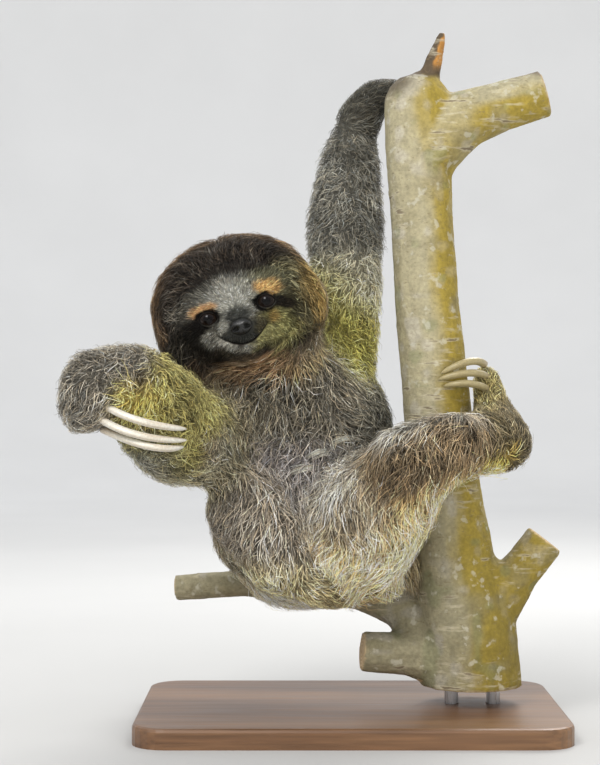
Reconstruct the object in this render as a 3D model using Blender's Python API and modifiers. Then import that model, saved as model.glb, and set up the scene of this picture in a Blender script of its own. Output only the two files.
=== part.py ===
"""A young three-toed sloth clinging to a short cut length of tree, held on a plain display stand.

Frame: +Z up, the viewer looks along +Y, the origin is the centre of the stand's underside.
The animal's own left is at +X. Tables are in millimetres and everything is built in metres.

The body is made the way a taxidermist bulks out a form. Each named part is a few beads, balls and
ellipsoids that reach the tips of the coat. All beads are melted into one smooth body, and the body is
then parted again into its named parts, each cut out by its own beads grown a little.
"""

import math

import bmesh
import bpy
from mathutils import Matrix, Vector

MM = 0.001
GAP = 0.3 * MM  # clearance between any two solids
SEAM = 2.4 * MM  # clearance between two parts of the body before each is thinned
MUZZLE_SEAM = 3.4 * MM  # the muzzle's bed is small and round, so thinning flattens it the most

# The melted body
BODY_VOXEL = 4.0 * MM
BODY_SMOOTHING = 9
PART_GROWTH = 4.5 * MM  # how far a part's own beads are grown to cut it out of the body
CUTTER_VOXEL_SHARE = 0.28  # a cutter's voxel, as a share of its thinnest bead's radius
PART_VOXEL_SHARE = 0.05  # a part's voxel, as a share of the side of a cube of its volume
PART_SMOOTHING = 2
PART_THINNING = 0.036

# Head, in its own axes: X to the animal's left, Y to the back, Z to the crown
HEAD_CENTRE = Vector((-78, -50, 293)) * MM
HEAD_ROLL = math.radians(-17.5)
EYE_PLACE = (20.4, -37.0, 0.0)
EYE_RADIUS = 6.4
EYE_HOLLOW_PLACE = (20.9, -46.0, 0.0)  # the hollow in front of each eye
EYE_HOLLOW_RADII = (9.5, 10.5, 8.0)
NOSE_PLACE = (0.0, -50.5, -10.5)
NOSE_RADII = (7.8, 5.5, 6.0)
NOSTRIL_PLACE = (3.6, -56.0, -11.0)
NOSTRIL_RADIUS = 1.5

# Stand
BASE_SIZE = (300.0, 200.0, 14.0)
BASE_CORNER = 24.0
BASE_EDGE = 2.5
ROD_RADIUS = 5.0
ROD_SPREAD = 15.0  # each rod's distance from the middle of the trunk's foot
ROD_IN_BASE = 9.0
ROD_IN_TREE = 26.0
TRUNK_FOOT = (88.0, 0.0, 27.0)

# Tree: each limb is a row of stations, x, y, z and radius
TREE_VOXEL = 3.6 * MM
TREE_THINNING = 0.036
TREE_OVERRUN = 14.0  # how far a limb runs on past the saw cut that ends it
TREE = {
    "trunk": [
        (88, 0, 27, 36), (85, 0, 59, 36), (76, 0, 110, 30), (67, 1, 174, 26.5), (61, 0, 246, 24.5),
        (55, -1, 304, 23.5), (51, 0, 376, 23), (49, 0, 412, 24), (48, 0, 444, 24),
    ],
    "upper": [(56, 0, 412, 24), (82, -2, 434, 21), (108, -3, 443, 18.5), (140, -5, 452, 17.5)],
    "lower_right": [(90, 0, 58, 25), (103, 0, 80, 18), (121, -2, 107, 15.5), (140, -3, 132, 15)],
    "seat": [
        (70, 2, 56, 24), (37, 12, 81, 15), (8, 28, 89, 12), (-36, 40, 93, 11),
        (-77, 45, 95, 10.5), (-129, 50, 91, 10),
    ],
    "lower_left": [(80, -2, 42, 22), (44, -8, 50, 16), (8, -12, 53, 14.5)],
}
TWIG = [(56, 0, 450, 9), (59, 1, 472, 7.5), (64, 2, 487, 6.2), (67, 3, 496, 4.5)]
SAWN = ("upper", "lower_right", "seat", "lower_left")

# Flesh and coat: rows of x, y, z and either one radius or three. Each row blends into the next.
CORE = {
    "neck": [(-64, -24, 264, 46, 40, 30), (-44, -6, 242, 52, 42, 30)],
    "chest": [(-22, 6, 242, 44, 38, 30), (-28, 6, 216, 61, 50, 46), (-36, 2, 178, 68, 55, 46)],
    "belly": [(-36, 2, 174, 67, 56, 46), (-40, 0, 142, 64, 57, 46), (-36, 4, 114, 50, 50, 35)],
    "tail": [(-36, 40, 123, 16), (-36, 60, 118, 13), (-37, 79, 110, 9)],
}
LIMBS = {
    "upper_arm_left": [(-6, 10, 266, 28), (-4, 15, 312, 29.5), (-3, 22, 356, 30.5)],
    "forearm_left": [(-3, 22, 356, 30.5), (-1, 29, 386, 27.5), (2, 34, 417, 22.5), (8, 36, 442, 17)],
    "hand_left": [(8, 36, 442, 17), (19, 38, 457, 14.5), (36, 37, 460, 11.5)],
    "upper_arm_right": [(-84, 8, 228, 34), (-118, -55, 206, 36)],
    "forearm_right": [(-118, -55, 206, 36), (-129, -95, 223, 35), (-140, -126, 240, 31)],
    "hand_right": [(-146, -132, 243, 29.5), (-167, -143, 243, 25.5), (-174, -146, 227, 19)],
    "thigh_left": [(-8, -8, 141, 45), (12, -42, 149, 39), (38, -60, 186, 30)],
    "shank_left": [(38, -62, 189, 30), (70, -60, 202, 26), (104, -37, 202, 24.5)],
    "foot_left": [(104, -34, 206, 22), (100, -16, 228, 14), (97, -9, 248, 12)],
    "thigh_right": [(-56, -2, 138, 39), (-74, -40, 158, 30)],
    "shank_right": [(-74, -40, 158, 29), (-50, -50, 122, 26), (-15, -48, 105, 20)],
    "foot_right": [(-15, -48, 106, 20), (8, -40, 104, 16), (26, -30, 102, 13)],
}
# The long hair that hangs from the left leg belongs to the thigh
LEG_FRINGE = [(40, -56, 170, 27), (28, -50, 146, 26), (14, -46, 122, 26)]
HEAD = {
    "head": [
        (-2, 0, 10, 59, 47, 45), (-32, 7, -4, 31, 37, 31), (32, 7, -4, 32, 37, 31),
        (20, -29, 8, 15, 12, 8), (-20, -29, 8, 15, 12, 8), (0, -24, -24, 27, 16, 12),
    ],
    "muzzle": [(0, -38, -12, 16, 12, 10), (0, -37, -21, 21, 12, 11)],
}

# Claws: base, bend and tip, with the radius at the base. The bend pulls the claw without being on it.
CLAWS = {
    "claw_hand_right": [
        ((-162, -150, 231), (-138, -184, 218), (-109, -146, 215), 2.8),
        ((-165.5, -149, 223), (-141, -183, 208.5), (-109, -145, 207.7), 2.8),
        ((-162, -146, 214.5), (-127, -180, 200), (-111, -143, 203.5), 2.7),
    ],
    "claw_hand_left": [
        ((40, 38, 459), (66, 50, 459), (86, 24, 451), 3.2),
        ((41, 37, 450), (66, 50, 449), (84, 25, 441), 3.2),
        ((40, 36, 441), (64, 50, 438), (79, 28, 431), 3.2),
    ],
    "claw_foot_left": [
        ((95, -13, 257.5), (86, -38, 264), (63.5, -29.5, 251), 3.0),
        ((97, -14, 248.5), (86, -40, 255), (61.5, -29.8, 246.5), 3.0),
        ((97.5, -16, 239), (86, -41, 247), (65.5, -29.6, 242), 3.0),
    ],
    "claw_foot_right": [
        ((31, -24, 112), (32, 2, 116), (24, 34, 107), 2.9),
        ((23, -24, 111), (23, 2, 115), (15, 36, 107), 2.9),
        ((15, -25, 110), (14, 2, 114), (6, 38, 107), 2.9),
    ],
}
CLAW_STATIONS = 6
CLAW_TIP_SHARE = 0.3  # the tip's radius as a share of the base's
CLAW_TAPER_POWER = 4  # how late the taper comes
CLAW_SIDES_RESOLUTION = 2

# Coat, skin and wood colours, linear red, green and blue, with roughness
FINISHES = {
    "coat_body": ((0.150, 0.115, 0.080), 0.90),
    "coat_arm": ((0.125, 0.105, 0.085), 0.90),
    "coat_head": ((0.050, 0.034, 0.025), 0.90),
    "coat_throat": ((0.190, 0.090, 0.040), 0.88),
    "muzzle": ((0.120, 0.105, 0.090), 0.85),
    "nose": ((0.012, 0.011, 0.011), 0.35),
    "eye": ((0.004, 0.003, 0.003), 0.08),
    "claw": ((0.560, 0.470, 0.350), 0.42),
    "bark": ((0.330, 0.270, 0.165), 0.85),
    "stand_wood": ((0.035, 0.020, 0.012), 0.45),
    "stand_steel": ((0.560, 0.560, 0.560), 0.30),
}
METALLIC = {"stand_steel": 1.0}


def clear_scene():
    for obj in list(bpy.data.objects):
        bpy.data.objects.remove(obj, do_unlink=True)


def collection(name):
    made = bpy.data.collections.new(name)
    bpy.context.scene.collection.children.link(made)
    return made


def finish(name):
    """The Principled material called name, made once."""
    if name in bpy.data.materials:
        return bpy.data.materials[name]
    material = bpy.data.materials.new(name)
    material.use_nodes = True
    shader = material.node_tree.nodes["Principled BSDF"]
    colour, roughness = FINISHES[name]
    shader.inputs["Base Color"].default_value = (*colour, 1.0)
    shader.inputs["Roughness"].default_value = roughness
    shader.inputs["Metallic"].default_value = METALLIC.get(name, 0.0)
    return material


def new_object(name, mesh, into):
    obj = bpy.data.objects.new(name, mesh)
    into.objects.link(obj)
    return obj


def evaluated_mesh(obj):
    """The object's mesh with its modifiers, and its place, worked in."""
    bpy.context.view_layer.update()
    graph = bpy.context.evaluated_depsgraph_get()
    mesh = bpy.data.meshes.new_from_object(obj.evaluated_get(graph))
    mesh.transform(obj.matrix_world)
    return mesh


def settle(obj):
    """Works the modifiers into the mesh and drops them."""
    mesh = evaluated_mesh(obj)
    obj.modifiers.clear()
    obj.matrix_world = Matrix.Identity(4)
    obj.data = mesh
    return obj


# Beads


def as_bead(row):
    """(centre, radii) in metres of a row of x, y, z and one radius or three."""
    radii = row[3:] if len(row) == 6 else (row[3],) * 3
    return Vector(row[:3]) * MM, Vector(radii) * MM


def strung(rows, spacing=0.3):
    """The rows' beads, with more between each two, a share of the smaller radius apart."""
    beads = [as_bead(row) for row in rows]
    made = [beads[0]]
    for (start, start_radii), (end, end_radii) in zip(beads, beads[1:]):
        smallest = min(*start_radii, *end_radii)
        steps = max(1, math.ceil((end - start).length / (smallest * spacing)))
        for i in range(1, steps + 1):
            share = i / steps
            made.append((start.lerp(end, share), start_radii.lerp(end_radii, share)))
    return made


def turned(beads, matrix):
    """Beads given in the axes of matrix, as (matrix for a unit ball) in the part's frame."""
    return [matrix @ Matrix.LocRotScale(centre, None, radii) for centre, radii in beads]


def bead_mesh(name, placed, grown=0.0, detail=3):
    """One mesh of unit balls, each put down by its matrix and grown by the same distance all round."""
    shape = bmesh.new()
    for matrix in placed:
        place, turn, radii = matrix.decompose()
        wide = Vector(r + grown for r in radii)
        bmesh.ops.create_icosphere(
            shape, subdivisions=detail, radius=1.0, matrix=Matrix.LocRotScale(place, turn, wide)
        )
    mesh = bpy.data.meshes.new(name)
    shape.to_mesh(mesh)
    shape.free()
    return mesh


def melt(obj, voxel, smoothing, thinning=None):
    """Makes obj one closed smooth skin, thinned to a share of its faces if asked."""
    remesh = obj.modifiers.new("melt", "REMESH")
    remesh.mode = "VOXEL"
    remesh.voxel_size = voxel
    smooth = obj.modifiers.new("smooth", "SMOOTH")
    smooth.factor = 0.5
    smooth.iterations = smoothing
    settle(obj)
    keep_largest(obj)
    if thinning:
        thin = obj.modifiers.new("thin", "DECIMATE")
        thin.ratio = thinning
        settle(obj)
    return obj


# Booleans


def cut(obj, cutter, operation="DIFFERENCE", solver="EXACT"):
    """Cuts obj by cutter, keeps its largest body, and works the result in."""
    boolean = obj.modifiers.new("cut", "BOOLEAN")
    boolean.solver = solver
    boolean.operation = operation
    boolean.object = cutter
    settle(obj)
    keep_largest(obj)
    return obj


def near(a, b):
    """Whether two objects' boxes overlap."""
    spans = [[(min(axis), max(axis)) for axis in zip(*(v.co for v in o.data.vertices))] for o in (a, b)]
    return all(low < other_high and other_low < high
               for (low, high), (other_low, other_high) in zip(*spans))


def volume(obj):
    shape = bmesh.new()
    shape.from_mesh(obj.data)
    size = shape.calc_volume()
    shape.free()
    return size


def keep_largest(obj):
    """Drops the crumbs that a cut can leave."""
    shape = bmesh.new()
    shape.from_mesh(obj.data)
    waiting, bodies = set(shape.verts), []
    while waiting:
        edge_of_search, body = [waiting.pop()], set()
        while edge_of_search:
            vertex = edge_of_search.pop()
            body.add(vertex)
            for edge in vertex.link_edges:
                other = edge.other_vert(vertex)
                if other in waiting:
                    waiting.discard(other)
                    edge_of_search.append(other)
        bodies.append(body)
    largest = max(bodies, key=len)
    crumbs = [v for body in bodies if body is not largest for v in body]
    bmesh.ops.delete(shape, geom=crumbs, context="VERTS")
    shape.to_mesh(obj.data)
    shape.free()


def grown_copy(obj, distance, into):
    """A copy of obj, swollen along its normals."""
    copy = new_object(obj.name + "_grown", obj.data.copy(), into)
    swell = copy.modifiers.new("swell", "DISPLACE")
    swell.strength = distance
    swell.mid_level = 0.0
    return settle(copy)


def ball(name, matrix, into, segments=16, rings=9):
    shape = bmesh.new()
    bmesh.ops.create_uvsphere(shape, u_segments=segments, v_segments=rings, radius=1.0, matrix=matrix)
    mesh = bpy.data.meshes.new(name)
    shape.to_mesh(mesh)
    shape.free()
    return new_object(name, mesh, into)


# Tree


def along(start, end):
    """The turn that carries +Z to the way from start to end."""
    return (Vector(end) - Vector(start)).to_track_quat("Z", "Y")


def sawn_end(rows, into):
    """A box that takes away what runs past the last station of a limb, square to the limb."""
    last, before = Vector(rows[-1][:3]), Vector(rows[-2][:3])
    turn = along(before, last)
    size = 2 * (rows[-1][3] + 12)
    depth = 3 * TREE_OVERRUN
    shape = bmesh.new()
    centre = (last + turn @ Vector((0, 0, depth / 2))) * MM
    scale = Vector((size, size, depth)) * MM
    bmesh.ops.create_cube(shape, size=1.0, matrix=Matrix.LocRotScale(centre, turn, scale))
    mesh = bpy.data.meshes.new("saw")
    shape.to_mesh(mesh)
    shape.free()
    return new_object("saw", mesh, into)


def overrun(rows):
    """The rows with one more, past the last in the same direction."""
    last, before = Vector(rows[-1][:3]), Vector(rows[-2][:3])
    past = last + (last - before).normalized() * TREE_OVERRUN
    return [*rows, (*past, rows[-1][3])]


def rod_places():
    x, y, _ = TRUNK_FOOT
    return [(x - ROD_SPREAD, y), (x + ROD_SPREAD, y)]


def rod(name, place, into, radius=ROD_RADIUS, longer=0.0):
    """A round bar from inside the base up into the trunk's foot, longer at both ends if asked."""
    low = BASE_SIZE[2] - ROD_IN_BASE - longer
    high = TRUNK_FOOT[2] + ROD_IN_TREE + longer
    shape = bmesh.new()
    bmesh.ops.create_cone(
        shape, cap_ends=True, segments=24, radius1=radius * MM, radius2=radius * MM,
        depth=(high - low) * MM,
        matrix=Matrix.Translation(Vector((*place, (low + high) / 2)) * MM),
    )
    mesh = bpy.data.meshes.new(name)
    shape.to_mesh(mesh)
    shape.free()
    return new_object(name, mesh, into)


def rod_sockets(into):
    clearance = GAP / MM
    return [rod("socket", place, into, ROD_RADIUS + clearance, clearance) for place in rod_places()]


def make_tree(into, cutters):
    beads = []
    for name in SAWN:
        beads += strung(overrun(TREE[name]))
    foot = (*TRUNK_FOOT[:2], TRUNK_FOOT[2] - TREE_OVERRUN, TREE["trunk"][0][3])
    beads += strung([foot, *TREE["trunk"]]) + strung(TWIG)
    tree = new_object("perch", bead_mesh("perch", turned(beads, Matrix.Identity(4))), into)
    melt(tree, TREE_VOXEL, 6, TREE_THINNING)
    trunk_down = [(*TRUNK_FOOT[:2], TRUNK_FOOT[2] + 1, 44), (*TRUNK_FOOT, 44)]
    for rows in [trunk_down] + [TREE[name] for name in SAWN]:
        cut(tree, sawn_end(rows, cutters))
    for socket in rod_sockets(cutters):
        cut(tree, socket)
    return tree


# Stand


def make_base(into, cutters):
    shape = bmesh.new()
    size = Vector(BASE_SIZE) * MM
    centre = Vector((0, 0, size.z / 2))
    bmesh.ops.create_cube(shape, size=1.0, matrix=Matrix.LocRotScale(centre, None, size))
    upright = [e for e in shape.edges if abs(e.verts[0].co.z - e.verts[1].co.z) > size.z / 2]
    bmesh.ops.bevel(shape, geom=upright, offset=BASE_CORNER * MM, segments=6, affect="EDGES", profile=0.5)
    rim = [e for e in shape.edges if min(v.co.z for v in e.verts) > size.z - 1e-6]
    bmesh.ops.bevel(shape, geom=rim, offset=BASE_EDGE * MM, segments=2, affect="EDGES", profile=0.5)
    mesh = bpy.data.meshes.new("stand_base")
    shape.to_mesh(mesh)
    shape.free()
    base = new_object("stand_base", mesh, into)
    for socket in rod_sockets(cutters):
        cut(base, socket)
    return base


# Claws


def claw_line(base, bend, tip, longer):
    """Points along a quadratic bend from base to tip, run on at both ends if asked."""
    base, bend, tip = (Vector(p) * MM for p in (base, bend, tip))
    base += (base - bend).normalized() * longer
    tip += (tip - bend).normalized() * longer
    for i in range(CLAW_STATIONS):
        t = i / (CLAW_STATIONS - 1)
        yield t, base * (1 - t) ** 2 + bend * 2 * t * (1 - t) + tip * t**2


def claw(name, row, into, wider=0.0):
    """A tapered tube, closed at both ends, as a mesh."""
    base, bend, tip, radius = row
    data = bpy.data.curves.new(name, "CURVE")
    data.dimensions = "3D"
    data.bevel_depth = 1.0
    data.bevel_resolution = CLAW_SIDES_RESOLUTION
    data.use_fill_caps = True
    spline = data.splines.new("POLY")
    spline.points.add(CLAW_STATIONS - 1)
    for point, (t, place) in zip(spline.points, claw_line(base, bend, tip, wider)):
        point.co = (*place, 1.0)
        taper = 1 - (1 - CLAW_TIP_SHARE) * t**CLAW_TAPER_POWER
        point.radius = radius * MM * taper + wider
    curve = new_object(name + "_line", data, into)
    mesh = evaluated_mesh(curve)
    bpy.data.objects.remove(curve, do_unlink=True)
    shape = bmesh.new()
    shape.from_mesh(mesh)
    bmesh.ops.remove_doubles(shape, verts=shape.verts, dist=1e-6)
    bmesh.ops.recalc_face_normals(shape, faces=shape.faces)
    shape.to_mesh(mesh)
    shape.free()
    return new_object(name, mesh, into)


# Body


def head_matrix():
    return Matrix.Translation(HEAD_CENTRE) @ Matrix.Rotation(HEAD_ROLL, 4, "Y")


def body_parts():
    """Each part's beads as matrices for unit balls, in the order in which they are cut out."""
    level = Matrix.Identity(4)
    head = head_matrix()
    parts = {name: turned([as_bead(r) for r in rows], head) for name, rows in HEAD.items()}
    order = ["muzzle", "head"]
    for side in ("left", "right"):
        order += [f"{part}_{side}" for part in ("hand", "forearm", "upper_arm", "foot", "shank", "thigh")]
    order += ["tail", "neck", "belly", "chest"]
    for name, rows in {**CORE, **LIMBS}.items():
        parts[name] = turned(strung(rows), level)
    parts["thigh_left"] += turned(strung(LEG_FRINGE), level)
    return {name: parts[name] for name in order}


def finish_of(name):
    if name.startswith(("upper_arm", "forearm", "hand")):
        return "coat_arm"
    return {"head": "coat_head", "neck": "coat_throat", "muzzle": "muzzle"}.get(name, "coat_body")


def make_body(tree, into, cutters):
    parts = body_parts()
    everything = [matrix for placed in parts.values() for matrix in placed]
    body = melt(new_object("body", bead_mesh("body", everything), cutters), BODY_VOXEL, BODY_SMOOTHING)
    cut(body, grown_copy(tree, SEAM, cutters), solver="MANIFOLD")
    nodes = {}
    last = list(parts)[-1]
    for name, placed in parts.items():
        piece = nodes[name] = new_object(name, body.data.copy(), into)
        if name != last:
            region = new_object("region", bead_mesh("region", placed, PART_GROWTH), cutters)
            thinnest = min(radius for matrix in placed for radius in matrix.to_scale())
            melt(region, CUTTER_VOXEL_SHARE * (thinnest + PART_GROWTH), 2)
            # The exact solver loses whole faces where these soft shapes graze one another
            cut(piece, region, "INTERSECT", "MANIFOLD")
            seam = MUZZLE_SEAM if name == "muzzle" else SEAM
            cut(body, grown_copy(region, seam, cutters), solver="MANIFOLD")
        melt(piece, PART_VOXEL_SHARE * volume(piece) ** (1 / 3), PART_SMOOTHING, PART_THINNING)
    return nodes


def make_face(nodes, into, cutters):
    """Eyes and nose, set into the head and muzzle."""
    head = head_matrix()

    def placed(place, radii, sign=1, wider=0.0):
        x, y, z = place
        size = Vector(r * MM + wider for r in radii)
        return head @ Matrix.LocRotScale(Vector((sign * x, y, z)) * MM, None, size)

    for side, sign in (("left", 1), ("right", -1)):
        radii = (EYE_RADIUS,) * 3
        nodes[f"eye_{side}"] = ball(f"eye_{side}", placed(EYE_PLACE, radii, sign), into)
        socket = ball("socket", placed(EYE_PLACE, radii, sign, GAP), cutters)
        hollow = ball("hollow", placed(EYE_HOLLOW_PLACE, EYE_HOLLOW_RADII, sign), cutters)
        for name in ("head", "muzzle"):
            for cutter in (socket, hollow):
                if near(nodes[name], cutter):
                    cut(nodes[name], cutter, solver="MANIFOLD")
    nose = nodes["nose"] = ball("nose", placed(NOSE_PLACE, NOSE_RADII), into)
    cut(nodes["muzzle"], ball("nose_bed", placed(NOSE_PLACE, NOSE_RADII, wider=GAP), cutters))
    for sign in (1, -1):
        nostril = placed(NOSTRIL_PLACE, (NOSTRIL_RADIUS,) * 3, sign)
        cut(nose, ball("nostril", nostril, cutters, 8, 5))


def make_claws(nodes, tree, into, cutters):
    """Claws laid against the tree, each in a bed cut out of the flesh that it comes near."""
    flesh = list(nodes.values())
    wood = grown_copy(tree, GAP, cutters)
    for group, rows in CLAWS.items():
        for number, row in enumerate(rows, 1):
            name = f"{group}_{number}"
            nodes[name] = claw(name, row, into)
            if near(nodes[name], wood):
                cut(nodes[name], wood)
            bed = claw("claw_bed", row, cutters, GAP)
            for piece in flesh:
                if near(piece, bed):
                    cut(piece, bed)


def smooth_shaded(obj):
    obj.data.shade_smooth()
    obj.data.set_sharp_from_angle(angle=math.radians(40))


def main():
    clear_scene()
    bpy.context.scene.unit_settings.scale_length = 1.0
    sloth = collection("three_toed_sloth")
    cutters = collection("cutters")
    cutters.hide_render = True

    tree = make_tree(sloth, cutters)
    nodes = make_body(tree, sloth, cutters)
    slots = {name: finish_of(name) for name in nodes}
    make_face(nodes, sloth, cutters)
    make_claws(nodes, tree, sloth, cutters)
    nodes["perch"] = tree
    nodes["stand_base"] = make_base(sloth, cutters)
    for number, place in enumerate(rod_places(), 1):
        nodes[f"stand_rod_{number}"] = rod(f"stand_rod_{number}", place, sloth)
    slots |= {"eye_left": "eye", "eye_right": "eye", "nose": "nose", "perch": "bark"}
    slots |= {"stand_base": "stand_wood", "stand_rod_1": "stand_steel", "stand_rod_2": "stand_steel"}

    for name, obj in nodes.items():
        obj.data.materials.clear()
        obj.data.materials.append(finish(slots.get(name, "claw")))
        smooth_shaded(obj)
    for obj in list(cutters.objects):
        bpy.data.objects.remove(obj, do_unlink=True)


main()
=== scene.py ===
"""The looks of a life-size three-toed sloth, shown still on a cut length of tree.

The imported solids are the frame. One skin replaces the solids of flesh and lies inside them by the coat's
depth, and the coat is solid mesh tufts rooted on that skin. Eyes, nose, claws and bark are pieces of
their own. Lengths are millimetres unless a name says otherwise; MM turns them into the frame's metres.
Arrays of points have one row for each point: x to the animal's left, y away from the camera, z up.
"""

import itertools
import math
from collections import namedtuple

import bmesh
import bpy
import numpy as np
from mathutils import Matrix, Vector
from mathutils.bvhtree import BVHTree
from mathutils.kdtree import KDTree


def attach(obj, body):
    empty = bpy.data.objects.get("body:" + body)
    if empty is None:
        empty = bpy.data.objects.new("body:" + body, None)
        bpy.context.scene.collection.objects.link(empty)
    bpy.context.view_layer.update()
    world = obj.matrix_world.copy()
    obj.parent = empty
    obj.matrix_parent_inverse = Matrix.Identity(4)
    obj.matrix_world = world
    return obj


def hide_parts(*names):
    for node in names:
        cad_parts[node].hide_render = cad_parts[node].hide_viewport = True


MM = 0.001
RNG = np.random.default_rng(20)
UP = np.array([0.0, 0.0, 1.0])
DOWN = -UP
TOWARDS_CAMERA = np.array([0.0, -1.0, 0.0])

# The head, as in the solids. Its own axes run to the animal's left, forward and up, so head_world
# mirrors what it turns: faces built looking outwards in these axes look inwards in the scene.
HEAD_CENTRE = np.array([-78.0, -50.0, 293.0])
HEAD_ROLL = math.radians(17.5)
HEAD_AXES = np.array(
    [
        [math.cos(HEAD_ROLL), 0.0, math.sin(HEAD_ROLL)],
        [0.0, -1.0, 0.0],
        [-math.sin(HEAD_ROLL), 0.0, math.cos(HEAD_ROLL)],
    ]
)
EYE = np.array([20.4, 37.0, 0.0])  # the left one; the right one is its mirror image
EYE_RADIUS = 6.4
LID_OPENING = (5.7, 4.1)
LID_TURN = math.radians(-9)  # both eyes slant the same way, as the head is a little turned
NOSE = np.array([-0.6, 47.6, -11.4])
NOSE_RADII = (7.7, 6.6, 5.9)
NOSTRIL = (3.5, -0.7)  # to the side of the nose's centre and above it
CROWN = (-2.0, 10.0)  # the middle of the head's outline, to the left of HEAD_CENTRE and above it
CROWN_RADII = (58.0, 44.0)
FACE_RADII = (41.0, 34.0)  # the bare face round the bridge of the nose

# Each claw's base, bend, tip and radius, as in the solids
CLAWS = {
    "claw_hand_right": [
        ((-162, -150, 231), (-138, -184, 218), (-109, -146, 215), 2.8),
        ((-165.5, -149, 223), (-141, -183, 208.5), (-109, -145, 207.7), 2.8),
        ((-162, -146, 214.5), (-127, -180, 200), (-111, -143, 203.5), 2.7),
    ],
    "claw_hand_left": [
        ((40, 38, 459), (66, 50, 459), (86, 24, 451), 3.2),
        ((41, 37, 450), (66, 50, 449), (84, 25, 441), 3.2),
        ((40, 36, 441), (64, 50, 438), (79, 28, 431), 3.2),
    ],
    "claw_foot_left": [
        ((95, -13, 257.5), (86, -38, 264), (63.5, -29.5, 251), 3.0),
        ((97, -14, 248.5), (86, -40, 255), (61.5, -29.8, 246.5), 3.0),
        ((97.5, -16, 239), (86, -41, 247), (65.5, -29.6, 242), 3.0),
    ],
    "claw_foot_right": [
        ((31, -24, 112), (32, 2, 116), (24, 34, 107), 2.9),
        ((23, -24, 111), (23, 2, 115), (15, 36, 107), 2.9),
        ((15, -25, 110), (14, 2, 114), (6, 38, 107), 2.9),
    ],
}
CLAW_STATIONS, CLAW_SIDES = 40, 24
CLAW_POINT = (0.97, 0.9, 0.76, 0.5)  # how the last stations narrow
CLAW_COLOURS = {  # pale and tan horn
    "hand": ((0.62, 0.595, 0.52), (0.46, 0.36, 0.25)),
    "foot": ((0.36, 0.3, 0.155), (0.25, 0.2, 0.09)),
}

# The middle lines of the limbs, from the body out
SPINE = [(-64, 6, 264), (-36, 12, 210), (-36, 14, 178), (-40, 10, 142), (-36, 20, 120)]
AXES = {
    "upper_arm_left": [(-6, 10, 266), (-4, 15, 312), (-3, 22, 356)],
    "forearm_left": [(-3, 22, 356), (-1, 29, 386), (2, 34, 417), (8, 36, 442)],
    "hand_left": [(8, 36, 442), (19, 38, 457), (36, 37, 460)],
    "upper_arm_right": [(-84, 8, 228), (-118, -55, 206)],
    "forearm_right": [(-118, -55, 206), (-129, -95, 223), (-140, -126, 240)],
    "hand_right": [(-146, -132, 243), (-167, -143, 243), (-174, -146, 227)],
    "thigh_left": [(-8, -8, 141), (12, -42, 149), (38, -60, 186)],
    "shank_left": [(38, -62, 189), (70, -60, 202), (104, -37, 202)],
    "foot_left": [(104, -34, 206), (100, -16, 228), (97, -9, 248)],
    "thigh_right": [(-56, -2, 138), (-74, -40, 158)],
    "shank_right": [(-74, -40, 158), (-50, -50, 122), (-15, -48, 105)],
    "foot_right": [(-15, -48, 106), (8, -40, 104), (26, -30, 102)],
}
for core in ("head", "muzzle", "neck", "chest", "belly", "tail"):
    AXES[core] = SPINE

# The coat by part: its depth over the skin, a tuft's length and width, the skin that each tuft has to
# itself in square mm, how far tufts stray from the lie of the coat, how freely they hang, how much their
# tones differ, and their colour.
Coat = namedtuple("Coat", "depth length width ground frizz hang streaks colour")
COAT = {
    "head": Coat(6, 11, 0.48, 1.0, 0.42, 0.05, 0.46, (0.085, 0.074, 0.056)),
    "muzzle": Coat(1.6, 3, 0.35, 0.5, 0.1, 0, 0.3, (0.06, 0.06, 0.05)),
    "neck": Coat(8, 18, 0.6, 1.75, 0.5, 0.1, 0.58, (0.23, 0.205, 0.155)),
    "chest": Coat(8, 17, 0.56, 1.7, 0.85, 0.12, 0.46, (0.21, 0.188, 0.146)),
    "belly": Coat(9, 20, 0.6, 1.8, 0.65, 0.2, 0.5, (0.25, 0.228, 0.215)),
    "tail": Coat(5, 13, 0.65, 2.0, 0.35, 0.1, 0.4, (0.32, 0.28, 0.21)),
    "upper_arm_left": Coat(8, 13, 0.5, 1.5, 0.95, 0.1, 0.32, (0.62, 0.585, 0.43)),
    "forearm_left": Coat(8, 12, 0.5, 1.5, 0.8, 0.1, 0.28, (0.25, 0.24, 0.2)),
    "hand_left": Coat(4, 9, 0.5, 1.35, 0.45, 0, 0.25, (0.12, 0.112, 0.088)),
    "upper_arm_right": Coat(8, 17, 0.6, 1.8, 0.7, 0.1, 0.42, (0.27, 0.235, 0.16)),
    "forearm_right": Coat(8, 13, 0.54, 1.4, 1.05, 0.05, 0.4, (0.36, 0.315, 0.11)),
    "hand_right": Coat(7, 12, 0.54, 1.4, 0.8, 0.05, 0.4, (0.3, 0.272, 0.22)),
    "thigh_left": Coat(9, 24, 0.6, 1.65, 0.42, 0.3, 0.5, (0.47, 0.39, 0.27)),
    "shank_left": Coat(8, 20, 0.6, 1.55, 0.45, 0.3, 0.5, (0.235, 0.175, 0.105)),
    "foot_left": Coat(4, 10, 0.52, 1.4, 0.5, 0, 0.4, (0.45, 0.38, 0.165)),
    "thigh_right": Coat(8, 22, 0.65, 1.95, 0.4, 0.2, 0.46, (0.42, 0.36, 0.25)),
    "shank_right": Coat(6, 18, 0.65, 1.85, 0.4, 0.15, 0.44, (0.33, 0.288, 0.228)),
    "foot_right": Coat(4, 9, 0.55, 1.6, 0.3, 0, 0.4, (0.56, 0.46, 0.25)),
}
FACE = Coat(2.5, 2.0, 0.3, 0.37, 0.18, 0, 0.62, None)  # the length is that round the eyes
FLESH = list(COAT)
SLOTS = {"head": "coat_head", "muzzle": "muzzle", "neck": "coat_throat"}
for limb in ("upper_arm", "forearm", "hand"):
    SLOTS[limb + "_left"] = SLOTS[limb + "_right"] = "coat_arm"

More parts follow.
